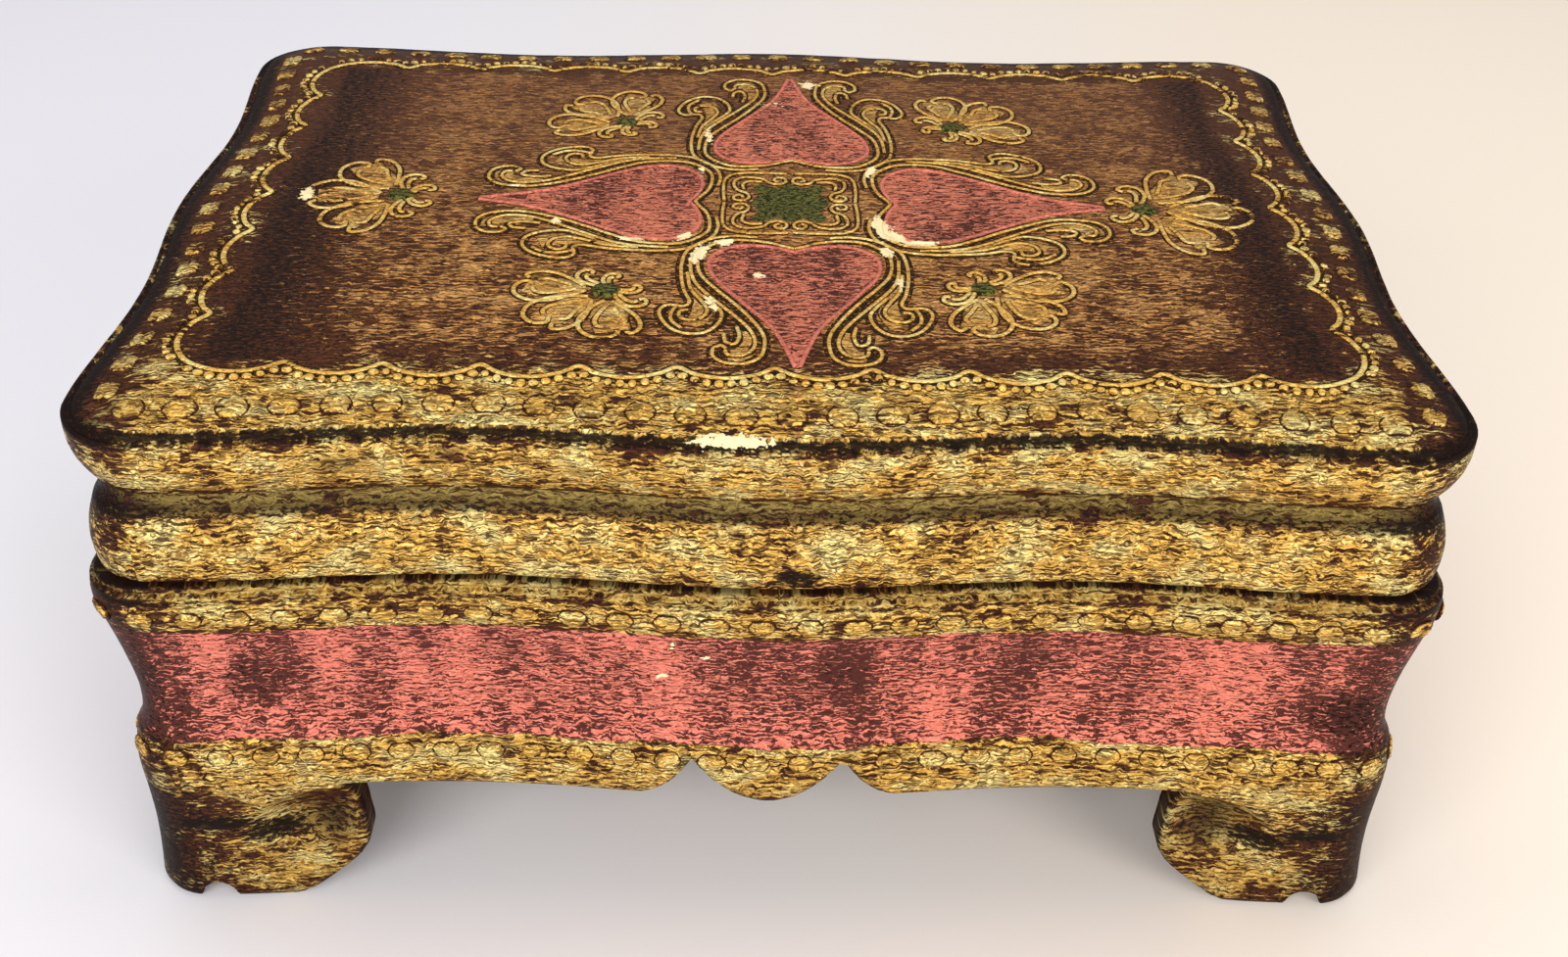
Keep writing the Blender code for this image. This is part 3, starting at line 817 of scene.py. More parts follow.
@dataclass(frozen=True)
class WornGilding:
    """Gold leaf worn through to dark glaze, with crackle, paint, grime, losses and painted shade."""

    name: str
    paint: Paint = Paint.NONE
    crested: bool = False
    paint_wear: float = 0.618
    paint_edge: float = 0.022
    crackle: float = 0.95
    leaf_threshold: float = 0.655
    gilt_gain: float = 0.25
    leaf_edge: Place = (-0.018, 0.022)
    bump_strength: float = 0.55
    bump_height: float = 0.00022
    heart_out: tuple[float, ...] = (14.5, 15.4, 17.5, 20.1, 22.6, 25.8, 29.4, 34.1, 38.5, 42.1, 44.6, 49.1)
    heart_half: tuple[float, ...] = (6.8, 9.5, 11.9, 12.7, 12.6, 11.5, 9.4, 6.4, 3.7, 2.2, 1.4, 0.2)
    heart_top: float = 14.4
    heart_cleft: float = 1.9
    heart_reach: float = 60.0
    heart_scale: float = 20.0
    field_half: Place = (5.6, 6.0)
    field_lobes: Place = (2.0, 3.0)
    lobe_swell: float = 0.6

    def build(self) -> bpy.types.Material:
        """The finished material.

        Returns:
            The material, with leaf that shines and stands up a little from the worn ground.
        """
        graph = GrainGraph(self.name)
        colour, leaf = self.leaf(graph)
        raised = leaf
        if self.paint is not Paint.NONE:
            colour, raised = self.painted(graph, colour, leaf)
        colour, rough = self.soiled(graph, colour)
        height = graph.total((raised, 0.7), (graph.fine, 0.5))
        relief = {"Strength": self.bump_strength, "Distance": self.bump_height, "Height": height}
        inputs = {
            "Base Color": colour,
            "Metallic": graph.times(leaf, graph.ramp(rough, 0.55, 0.9, 0.35, 0.0)),
            "Roughness": rough,
            "Normal": graph.node("ShaderNodeBump", relief).outputs[0],
            "Specular IOR Level": SPECULAR_LEVEL,
        }
        graph.wire(graph.shader, inputs)
        return graph.material

    def leaf(self, graph: GrainGraph) -> tuple[Socket, Socket]:
        """Gold leaf over dark glaze, under painted shade toward the lid's back.

        Args:
            graph: The material's tree.

        Returns:
            The colour, and how much of it is leaf.
        """
        lines = self.lines(graph)
        leaf = graph.times(self.cover(graph), graph.minus(1.0, graph.times(lines, self.crackle)))
        colour = graph.mix(leaf, self.glaze(graph, lines), self.gold(graph))
        # Painted shade: umber laid over the finish toward the lid's back
        return graph.mix(graph.times(graph.mask("back_shade_and_age"), 0.8), colour, PALETTE.back_shade_umber), leaf

    def cover(self, graph: GrainGraph) -> Socket:
        """Where leaf is left, before fine lines are worn through it.

        Args:
            graph: The material's tree.

        Returns:
            1 on leaf and 0 on bare glaze, softer on bronze; on crested pieces 0 also down the flanks, as
            painted shade.
        """
        bronze = graph.mask("bronze")
        drawn_out = graph.blend(bronze, graph.streak, graph.noise(graph.place, PATTERNS.narrow))
        chance = graph.blend(graph.blend(bronze, 0.6, 0.8), graph.patch, drawn_out)
        need = graph.minus(self.leaf_threshold, graph.times(graph.mask("gilt"), self.gilt_gain))
        soft = graph.times(bronze, 0.006)
        low, high = graph.minus(self.leaf_edge[0], soft), graph.plus(self.leaf_edge[1], soft)
        leaf = graph.ramp(graph.minus(chance, need), low, high)
        if not self.crested:
            return leaf
        # Painted shade: crested pieces keep leaf on their upward-facing crests and show dark glaze down
        # their sideways-facing flanks, broken by streak noise as wear
        broken = graph.times(graph.minus(graph.streak, 0.5), 1.5)
        return graph.times(leaf, graph.ramp(graph.plus(graph.mask("crest"), broken), 0.15, 0.45))

    def lines(self, graph: GrainGraph) -> Socket:
        """Crackle and drawn-out scratches in the leaf, fainter where it is bronze or tarnished.

        Args:
            graph: The material's tree.

        Returns:
            1 along the lines and 0 between them.
        """
        crackle = graph.cracks(graph.place, PATTERNS.crackle, 0.17)
        nets = graph.cracks(graph.place, PATTERNS.nets, 0.18)
        open_lines = graph.times(crackle, graph.ramp(graph.fine, 0.34, 0.6, 1.0, 0.45))
        fine_lines = graph.times(nets, graph.ramp(graph.streak, 0.40, 0.62, 0.95, 0.2))
        calmed = graph.most(graph.times(graph.mask("bronze"), 0.5), graph.times(graph.mask("olive"), 0.85))
        lines = graph.times(graph.most(open_lines, fine_lines), graph.minus(1.0, calmed))
        scratches = graph.ramp(graph.noise(graph.place, PATTERNS.drawn), 0.53, 0.56)
        return graph.most(lines, scratches)

    def glaze(self, graph: GrainGraph, lines: Socket) -> Socket:
        """The brown, plum and black glaze under the leaf, blackest along the lines."""
        glaze = graph.mix(graph.ramp(graph.streak, 0.36, 0.56), PALETTE.glaze_plum, PALETTE.glaze_brown)
        glaze = graph.mix(graph.ramp(graph.fine, 0.56, 0.40), glaze, PALETTE.glaze_black)
        return graph.mix(graph.times(lines, 0.7), glaze, PALETTE.glaze_black)

    def gold(self, graph: GrainGraph) -> Socket:
        """The leaf's colour: gold, bronze or olive tarnish, darkened by soot and painted shade.

        Args:
            graph: The material's tree.

        Returns:
            The colour.
        """
        fine = graph.fine
        gold = graph.mix(graph.ramp(fine, 0.34, 0.62), PALETTE.gold_deep, PALETTE.gold_bright)
        pale = graph.ramp(graph.plus(fine, graph.patch), 1.0, 1.14)
        gold = graph.mix(pale, gold, PALETTE.gold_pale)
        bronze = graph.mix(graph.ramp(fine, 0.36, 0.64), PALETTE.bronze_deep, PALETTE.bronze_light)
        gold = graph.mix(graph.mask("bronze"), gold, bronze)
        tarnish = graph.mix(graph.ramp(fine, 0.36, 0.62), PALETTE.olive_deep, PALETTE.olive_light)
        # Painted shade: tarnish darkens toward olive_shade where soot_and_shade is high, as in the feet's
        # hollows
        shade_on_tarnish = graph.math("MULTIPLY", graph.mask("soot_and_shade"), 1.6, clamp=True)
        tarnish = graph.mix(shade_on_tarnish, tarnish, PALETTE.olive_shade)
        return graph.mix(graph.mask("olive"), gold, tarnish)

    def painted(self, graph: GrainGraph, under: Socket, leaf: Socket) -> tuple[Socket, Socket]:
        """Coral or green paint over the gilding.

        Args:
            graph: The material's tree.
            under: The colour under the paint.
            leaf: How much of that colour is leaf.

        Returns:
            The colour, and how much stands up as leaf or paint.
        """
        pitted = graph.noise(graph.place, PATTERNS.pitted)
        green = graph.mix(graph.ramp(pitted, 0.45, 0.57), PALETTE.green_deep, PALETTE.green_light)
        if self.paint is Paint.GREEN:
            return graph.mix(graph.ramp(graph.streak, 0.3, 0.42), under, green), leaf
        coral = self.coral(graph, pitted)
        if self.paint is Paint.CORAL:
            return coral, leaf
        if self.paint is Paint.COVE:
            uneven = graph.plus(graph.streak, graph.times(graph.patch, 2.4))
            zone = graph.ramp(graph.plus(graph.mask("cove"), uneven), 1.78, 1.98)
            return graph.mix(zone, under, coral), graph.most(leaf, zone)
        rub = graph.times(graph.minus(graph.streak, 0.5), 1.2)
        coral_zone = graph.ramp(graph.plus(self.inside_hearts(graph), rub), -0.15, 0.15)
        green_zone = graph.ramp(graph.plus(self.inside_field(graph), rub), -0.1, 0.15)
        colour = graph.mix(green_zone, graph.mix(coral_zone, under, coral), green)
        return colour, graph.most(graph.times(coral_zone, 0.8), leaf)

    def coral(self, graph: GrainGraph, pitted: Socket) -> Socket:
        """Coral paint, dragged along the grain and worn through to a rusty ground.

        Args:
            graph: The material's tree.
            pitted: The noise of the paint's pits.

        Returns:
            The colour.
        """
        drag, zones = (graph.noise(graph.place, each) for each in (PATTERNS.drag, PATTERNS.zones))
        worn = graph.total((drag, 0.6), (pitted, 0.4), (graph.mask("soot_and_shade"), 0.16), (zones, 0.22))
        bare = graph.ramp(worn, self.paint_wear, self.paint_wear + self.paint_edge)
        if self.paint is Paint.CORAL:
            bare = graph.times(bare, 0.4)
        coral = graph.mix(graph.ramp(graph.fine, 0.36, 0.64), PALETTE.coral_deep, PALETTE.coral_light)
        if self.paint is Paint.HEARTS:
            coral = graph.mix(0.3, coral, PALETTE.bronze_deep)
        return graph.mix(graph.times(bare, 0.92), coral, PALETTE.rust)

    @staticmethod
    def from_centre(graph: Graph, centre: Vector) -> tuple[Socket, Socket]:
        """How far right and back of a centre on the lid a place is, in millimetres."""
        moved = graph.shift(graph.node("ShaderNodeTexCoord").outputs["Object"], (-centre.x, -centre.y, 0.0))
        parts = graph.node("ShaderNodeSeparateXYZ", {0: graph.stretch(moved, (1 / MM, 1 / MM, 1 / MM))})
        return parts.outputs[0], parts.outputs[1]

    def half_width(self, graph: Graph, out: Socket) -> Socket:
        """A heart's half width at a distance from the pattern's centre.

        Args:
            graph: The material's tree.
            out: The distance, in millimetres.

        Returns:
            The half width, in millimetres, or 0 before and beyond the heart.
        """
        curve = graph.node("ShaderNodeFloatCurve", {"Value": graph.math("DIVIDE", out, self.heart_reach)})
        line = curve.mapping.curves[0]
        line.points[0].location = (0.0, 0.0)
        line.points[1].location = ((self.heart_top - 0.05) / self.heart_reach, 0.0)
        ends = [(self.heart_out[-1] + 0.3, 0.0), (self.heart_reach, 0.0)]
        for far, half in (*zip(self.heart_out, self.heart_half), *ends):
            line.points.new(far / self.heart_reach, half / self.heart_scale)
        for point in line.points:
            point.handle_type = "VECTOR"
        curve.mapping.update()
        return graph.times(curve.outputs[0], self.heart_scale)

    def inside_hearts(self, graph: Graph) -> Socket:
        """How far inside one of the four hearts a place is, in millimetres.

        Args:
            graph: The material's tree.

        Returns:
            The distance, less than 0 outside the hearts.
        """
        x, y = (graph.math("ABSOLUTE", part) for part in self.from_centre(graph, PATTERN_CENTRE))
        found = []
        for out, across in ((x, y), (y, x)):
            side = graph.minus(self.half_width(graph, out), across)
            dip = graph.ramp(across, 6.0, 0.0, 0.0, self.heart_cleft)
            top = graph.minus(graph.minus(out, self.heart_top), dip)
            found.append(graph.math("MINIMUM", side, top))
        return graph.most(*found)

    def inside_field(self, graph: Graph) -> Socket:
        """How far inside the lobed green field in the middle a place is, in millimetres.

        Args:
            graph: The material's tree.

        Returns:
            The distance, less than 0 outside the field.
        """
        x, y = self.from_centre(graph, FIELD_CENTRE)
        found = []
        for near, far, half, lobes in zip((x, y), (y, x), self.field_half, self.field_lobes):
            wave = graph.math("COSINE", graph.times(far, math.pi * lobes / half / 1.1))
            swell = graph.plus(graph.times(wave, self.lobe_swell), half)
            found.append(graph.minus(swell, graph.math("ABSOLUTE", near)))
        return graph.math("MINIMUM", *found)

    def soiled(self, graph: GrainGraph, colour: Socket) -> tuple[Socket, Socket]:
        """Grime and painted shade, bare gesso and plain hidden wood over the finish.

        Args:
            graph: The material's tree.
            colour: The finish under the grime and painted shade.

        Returns:
            The colour and the roughness.
        """
        soot_and_shade, hidden = graph.mask("soot_and_shade"), graph.mask("hidden")
        # Painted shade: a smooth darkening wherever soot_and_shade passes 0.3, in the gap, the feet's
        # hollows and their creases, as well as over soot
        colour = graph.mix(graph.ramp(soot_and_shade, 0.3, 1.0, 0.0, 0.55), colour, PALETTE.grime_and_shade)
        dirty = graph.plus(graph.noise(graph.grain, PATTERNS.pits), graph.times(soot_and_shade, 0.34))
        colour = graph.mix(graph.times(graph.ramp(dirty, 0.68, 0.76), 0.93), colour, PALETTE.grime_and_shade)
        colour, chip = graph.chipped(graph.grain, colour)
        plain = graph.mix(graph.ramp(graph.fine, 0.35, 0.65), PALETTE.glaze_black, PALETTE.glaze_brown)
        colour = graph.mix(hidden, colour, plain)
        rough = graph.most(graph.ramp(graph.fine, 0.35, 0.65, 0.36, 0.52), graph.times(chip, 0.8))
        return colour, graph.most(rough, graph.times(hidden, 0.75))


@dataclass(frozen=True)
class DarkChannel:
    """Dark glaze and old grime lying in the channels beside the raised lines."""

    name: str
    roughness: float = 0.6

    def build(self) -> bpy.types.Material:
        """The finished material.

        Returns:
            The material, dark with a little bronze left in it.
        """
        graph = Graph(self.name)
        grain = graph.vector("grain")
        kept = graph.ramp(graph.noise(grain, PATTERNS.silt), 0.54, 0.68)
        colour, _ = graph.chipped(grain, graph.mix(kept, PALETTE.channel, PALETTE.bronze_deep))
        inputs = {"Base Color": colour, "Roughness": self.roughness, "Specular IOR Level": SPECULAR_LEVEL}
        graph.wire(graph.shader, inputs)
        return graph.material


class SurfaceTree(Wiring):
    """A Geometry Nodes tree with named inputs and one geometry in and out."""

    def __init__(self, name: str, inputs: Sequence[tuple[str, str, object]]) -> None:
        """Makes the tree's sockets and its two end nodes.

        Args:
            name: The tree's name.
            inputs: The name, socket type and default value of each input.
        """
        super().__init__(bpy.data.node_groups.new(name, "GeometryNodeTree"))
        for way in ("INPUT", "OUTPUT"):
            self.tree.interface.new_socket("Geometry", in_out=way, socket_type="NodeSocketGeometry")
        for label, kind, value in (*inputs, ("Finish", "NodeSocketMaterial", None)):
            socket = self.tree.interface.new_socket(label, in_out="INPUT", socket_type=kind)
            if value is not None:
                socket.default_value = value
        self.given = self.node("NodeGroupInput").outputs
        self.out = self.node("NodeGroupOutput")

    def finished(self, shape: Socket) -> bpy.types.NodeTree:
        """Ends the tree: makes its instances real and sets their finish.

        Args:
            shape: The geometry that the tree has made.

        Returns:
            The tree.
        """
        real = self.node("GeometryNodeRealizeInstances", {"Geometry": shape})
        inputs = {"Geometry": real.outputs["Geometry"], "Material": self.given["Finish"]}
        dressed = self.node("GeometryNodeSetMaterial", inputs)
        self.wire(self.out, {"Geometry": dressed.outputs["Geometry"]})
        return self.tree


class Growth:
    """Runs a Geometry Nodes tree on a guide object and turns the result into a plain mesh."""

    def __init__(self, tree: bpy.types.NodeTree) -> None:
        """Keeps the tree and finds its inputs by name."""
        self.tree = tree
        inputs = [item for item in tree.interface.items_tree if item.in_out == "INPUT"]
        self.sockets = {item.name: item.identifier for item in inputs}

    def grow(self, guide: bpy.types.Object, name: str, values: dict[str, object]) -> bpy.types.Mesh:
        """Makes the tree's result into a mesh and removes the guide.

        Args:
            guide: The object whose points or lines the tree follows.
            name: The mesh's name.
            values: The tree's inputs by name.

        Returns:
            The mesh.
        """
        modifier = guide.modifiers.new(name, "NODES")
        modifier.node_group = self.tree
        for label, value in values.items():
            modifier[self.sockets[label]] = value
        bpy.context.view_layer.update()
        graph = bpy.context.evaluated_depsgraph_get()
        mesh = bpy.data.meshes.new_from_object(
            guide.evaluated_get(graph), preserve_all_data_layers=True, depsgraph=graph
        )
        mesh.name = name
        guide.modifiers.remove(modifier)
        bpy.data.objects.remove(guide)
        return mesh


def ridge_tree() -> bpy.types.NodeTree:
    """Runs a low rounded ridge along every line of the guide, tapered by the lines' own radius.

    Returns:
        The tree.
    """
    sizes = (
        ("Half Width", "NodeSocketFloat", 0.0003),
        ("Relief", "NodeSocketFloat", 0.0003),
        ("Sides", "NodeSocketInt", 8),
    )
    tree = SurfaceTree("gesso_ridge", sizes)
    given = tree.given
    upright = tree.node("GeometryNodeSetCurveNormal", {"Curve": given["Geometry"]}, mode="Z_UP")
    profile = tree.node("GeometryNodeCurvePrimitiveCircle", {"Radius": 1.0, "Resolution": given["Sides"]})
    flat = tree.node("ShaderNodeCombineXYZ", {"X": given["Half Width"], "Y": given["Relief"]})
    inputs = {"Geometry": profile.outputs["Curve"], "Scale": flat.outputs["Vector"]}
    shape = tree.node("GeometryNodeTransform", inputs)
    inputs = {
        "Curve": upright.outputs["Curve"],
        "Profile Curve": shape.outputs["Geometry"],
        "Fill Caps": True,
    }
    return tree.finished(tree.node("GeometryNodeCurveToMesh", inputs).outputs["Mesh"])


def stud_tree() -> bpy.types.NodeTree:
    """Sets a stud on every point of the guide, turned to its outward and heading directions.

    Returns:
        The tree.
    """
    sizes = (
        ("Stud", "NodeSocketObject", None),
        ("Size", "NodeSocketVector", (1.0, 1.0, 1.0)),
        ("Unevenness", "NodeSocketFloat", 0.1),
        ("Seed", "NodeSocketInt", 1),
    )
    tree = SurfaceTree("gesso_studs", sizes)
    given = tree.given
    stud = tree.node("GeometryNodeObjectInfo", {"Object": given["Stud"]})
    turn = {}
    for attribute, axis, pivot in (("outward", "Z", "AUTO"), ("heading", "X", "Z")):
        named = tree.node("GeometryNodeInputNamedAttribute", {"Name": attribute}, data_type="FLOAT_VECTOR")
        inputs = turn | {"Vector": named.outputs["Attribute"]}
        align = tree.node("FunctionNodeAlignRotationToVector", inputs, axis=axis, pivot_axis=pivot)
        turn = {"Rotation": align.outputs["Rotation"]}
    limits = {
        bound: tree.node("ShaderNodeMath", {0: 1.0, 1: given["Unevenness"]}, operation=way).outputs[0]
        for bound, way in (("Min", "SUBTRACT"), ("Max", "ADD"))
    }
    inputs = limits | {"Seed": given["Seed"]}
    chance = tree.node("FunctionNodeRandomValue", inputs, data_type="FLOAT_VECTOR")
    inputs = {0: chance.outputs[0], 1: given["Size"]}
    size = tree.node("ShaderNodeVectorMath", inputs, operation="MULTIPLY")
    inputs = {"Points": given["Geometry"], "Instance": stud.outputs["Geometry"], "Scale": size.outputs[0]}
    return tree.finished(tree.node("GeometryNodeInstanceOnPoints", inputs | turn).outputs["Instances"])


@dataclass(frozen=True)
class Seat:
    """Where a stud sits on a surface."""

    place: Vector
    outward: Vector
    heading: Vector


def seat_guide(seats: Sequence[Seat]) -> bpy.types.Object:
    """Loose points that carry each seat's outward and heading directions.

    Args:
        seats: The seats.

    Returns:
        The points as an object, for the stud tree to follow.
    """
    mesh = bpy.data.meshes.new("seats")
    mesh.from_pydata([seat.place for seat in seats], [], [])
    for name in ("outward", "heading"):
        layer = mesh.attributes.new(name, "FLOAT_VECTOR", "POINT")
        directions = np.array([getattr(seat, name) for seat in seats], np.float32)
        layer.data.foreach_set("vector", directions.ravel())
    guide = bpy.data.objects.new("seats", mesh)
    bpy.context.scene.collection.objects.link(guide)
    return guide


@dataclass(frozen=True)
class Stud:
    """A low raised lump of gesso, of unit size, with a lobed edge and an optional cleft."""

    name: str
    lobes: int = 0
    lobe_depth: float = 0.0
    squareness: float = 2.0
    cleft: float = 0.0
    cleft_width: float = 0.16
    sides: int = 16
    rises: tuple[Place, ...] = ((1.0, -0.5), (0.99, 0.04), (0.90, 0.14), (0.78, 0.80), (0.45, 0.97))

    def build(self) -> bpy.types.Object:
        """The stud as an object that the guide's points repeat.

        Returns:
            The object, with each point's share of the full height stored as its crest.
        """
        angles = 2 * np.pi * np.arange(self.sides) / self.sides
        power = 2 / self.squareness
        x = np.sign(np.cos(angles)) * np.abs(np.cos(angles)) ** power
        y = np.sign(np.sin(angles)) * np.abs(np.sin(angles)) ** power
        swell = 1 + self.lobe_depth * np.cos(self.lobes * angles)
        edge = np.stack([x * swell, y * swell], 1)
        points, crest = [], []
        for reach, height in self.rises:
            for across, along in edge * reach:
                sunk = self.cleft * math.exp(-((along / self.cleft_width) ** 2)) * max(height, 0.0)
                points.append((across, along, height - sunk))
                crest.append(max(height - 1.6 * sunk, 0.0))
        points.append((0.0, 0.0, 1.0 - self.cleft))
        crest.append(1.0 - self.cleft)
        count, top = self.sides, len(points) - 1
        last = (len(self.rises) - 1) * count
        around = [(i, (i + 1) % count) for i in range(count)]
        faces = []
        for low in range(0, last, count):
            faces += [(low + i, low + j, low + count + j, low + count + i) for i, j in around]
        faces += [(last + i, last + j, top) for i, j in around]
        faces.append(tuple(reversed(range(count))))
        mesh = bpy.data.meshes.new(self.name)
        mesh.from_pydata(points, [], faces)
        store(mesh, "crest", np.array(crest))
        return add_piece(self.name, mesh)


@dataclass
class Stroke:
    """One raised line in plan, through a few listed points."""

    points: Sequence[Place]
    width: float = 1.0
    taper: Place = (0.45, 0.45)
    closed: bool = False
    rise: float = 4.0

    def moved(self, turn: float, mirror: bool, centre: Vector, grow: float = 1.0) -> "Stroke":
        """The stroke in another place.

        Args:
            turn: How far it is turned, in radians.
            mirror: Whether it is mirrored across its own x axis first.
            centre: Where its origin goes, in metres.
            grow: How many times its size it gets.

        Returns:
            A new stroke.
        """
        cos, sin = math.cos(turn), math.sin(turn)
        places = []
        for x, y in self.points:
            x, y = x * grow, (-y if mirror else y) * grow
            places.append((centre.x / MM + x * cos - y * sin, centre.y / MM + x * sin + y * cos))
        return replace(self, points=places)

    def smoothed(self, step: float = 0.45) -> np.ndarray:
        """A smooth line through the points.

        Args:
            step: About how far apart its own points are, in millimetres.

        Returns:
            Rows of x and y, in millimetres.
        """
        given = np.array(self.points, float)
        if self.closed:
            given = np.concatenate([given[-1:], given, given[:2]])
        else:
            given = np.concatenate([2 * given[:1] - given[1:2], given, 2 * given[-1:] - given[-2:-1]])
        line = []
        for before, start, end, after in zip(given, given[1:], given[2:], given[3:]):
            count = max(2, round(float(np.linalg.norm(end - start)) / step))
            square = 2 * before - 5 * start + 4 * end - after
            cube = 3 * start - before - 3 * end + after
            for t in np.arange(count) / count:
                line.append((2 * start + (end - before) * t + square * t**2 + cube * t**3) / 2)
        if not self.closed:
            line.append(given[-2])
        return np.array(line)


@dataclass
class Relief:
    """Raised lines and studs of gesso on one surface."""

    skin: bpy.types.Object
    wear_and_shade: WearAndShade
    coats: Sequence[Coat]
    ridge: Growth
    stud: Growth
    fall: float = 4.0
    wobble: float = 0.14
    look_ahead: float = 0.0005
    surface: BVHTree = field(init=False)

    def __post_init__(self) -> None:
        """Makes the surface ready for finding places on it."""
        mesh = self.skin.data
        polygons = [tuple(face.vertices) for face in mesh.polygons]
        self.surface = BVHTree.FromPolygons([point.co for point in mesh.vertices], polygons)

    def under(self, x: float, y: float) -> tuple[Vector, Vector]:
        """The surface's point and outward direction under a plan place in metres."""
        place, outward, _, _ = self.surface.ray_cast(Vector((x, y, 0.2)), Vector((0.0, 0.0, -1.0)))
        return place, outward

    def lines(
        self,
        name: str,
        strokes: Iterable[Stroke],
        half_width: float,
        relief: float,
        finish: bpy.types.Material,
        lift: float = 0.5,
        dulling_and_shade: float = 0.2,
    ) -> bpy.types.Object:
        """Raises strokes of gesso on the surface.

        Args:
            name: The piece's name.
            strokes: The strokes, in millimetres.
            half_width: Half a full line's width, in metres.
            relief: How far a full line stands up, in metres.
            finish: Its material.
            lift: How much more gold it keeps than the ground.
            dulling_and_shade: The share of the ground's dulling, soot and painted shade that it has.

        Returns:
            The piece.
        """
        curve = bpy.data.curves.new(name, "CURVE")
        curve.dimensions = "3D"
        for stroke in strokes:
            line = stroke.smoothed() * MM
            count = len(line)
            share = np.arange(count) / max(count - 1, 1)
            start, end = (1.0, 1.0) if stroke.closed else stroke.taper
            growing = start + (1 - start) * share * stroke.rise
            shrinking = end + (1 - end) * (1 - share) * self.fall
            width = np.clip(np.minimum(growing, shrinking), 0.0, 1.0) * stroke.width
            wobble = 1 + self.wobble * np.sin(np.arange(count) * 1.7 + line[0, 0] * 900)
            spline = curve.splines.new("POLY")
            spline.points.add(count - 1)
            spline.use_cyclic_u = stroke.closed
            for point, (x, y), size in zip(spline.points, line, width * wobble):
                point.co = (x, y, self.under(x, y)[0].z, 1.0)
                point.radius = size
        guide = bpy.data.objects.new(name, curve)
        bpy.context.scene.collection.objects.link(guide)
        values = {"Half Width": half_width, "Relief": relief, "Finish": finish}
        mesh = self.ridge.grow(guide, name, values)
        upward = np.zeros(len(mesh.vertices) * 3, np.float32)
        mesh.vertices.foreach_get("normal", upward)
        store(mesh, "crest", np.clip(upward.reshape(-1, 3)[:, 2], 0.0, 1.0))
        self.wear_and_shade.lay(mesh, self.coats, lift, dulling_and_shade)
        return add_piece(name, mesh)

    def studs(
        self,
        name: str,
        shape: Stud,
        seats: Sequence[Seat],
        size: Size,
        finish: bpy.types.Material,
        unevenness: float = 0.1,
        lift: float = 0.3,
    ) -> bpy.types.Object:
        """Sets studs of gesso on the surface.

        Args:
            name: The piece's name.
            shape: The stud that is repeated.
            seats: Where each one sits.
            size: Half length, half width and relief, in metres.
            finish: Their material.
            unevenness: How far their sizes vary, as a share.
            lift: How much more gold they keep than the ground.

        Returns:
            The piece.
        """
        model = shape.build()
        values = {"Stud": model, "Size": size, "Unevenness": unevenness, "Seed": len(seats)}
        mesh = self.stud.grow(seat_guide(seats), name, values | {"Finish": finish})
        bpy.data.objects.remove(model)
        self.wear_and_shade.lay(mesh, self.coats, lift, dulling_and_shade=0.5)
        return add_piece(name, mesh)

    def row_round(self, inset: float, pitch: float, height: float | None = None) -> list[Seat]:
        """Seats in a row round the whole box.

        Args:
            inset: How far inside the widest outline the row runs, in metres.
            pitch: The distance between seats, in metres.
            height: The row's height on the sides, or None for a row on the lid's top.

        Returns:
            The seats.
        """
        line = BOX.ring(inset)
        step = np.linalg.norm(np.roll(line, -1, 0) - line, axis=1)
        run = np.concatenate([[0.0], np.cumsum(step)])
        closed = np.concatenate([line, line[:1]]).T
        count = round(run[-1] / pitch)
        seats = []
        for i in range(count):
            far = run[-1] * i / count
            x, y = (float(np.interp(far, run, axis)) for axis in closed)
            next_x, next_y = (float(np.interp(far + self.look_ahead, run, axis)) for axis in closed)
            heading = Vector((next_x - x, next_y - y, 0.0)).normalized()
            if height is None:
                place, outward = self.under(x, y)
            else:
                place, outward, _, _ = self.surface.find_nearest(Vector((x, y, height)))
            heading = (heading - outward * heading.dot(outward)).normalized()
            seats.append(Seat(place, outward, heading))
        return seats


def dress_node(piece: bpy.types.Object, slot: str, *nodes: str) -> bpy.types.Object:
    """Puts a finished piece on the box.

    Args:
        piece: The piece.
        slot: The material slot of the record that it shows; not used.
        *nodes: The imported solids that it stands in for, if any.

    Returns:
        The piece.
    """
    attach(piece, ROOT)
    if nodes:
        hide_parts(*nodes)
    LOG.info("%s: %d faces", piece.name, len(piece.data.polygons))
    return piece


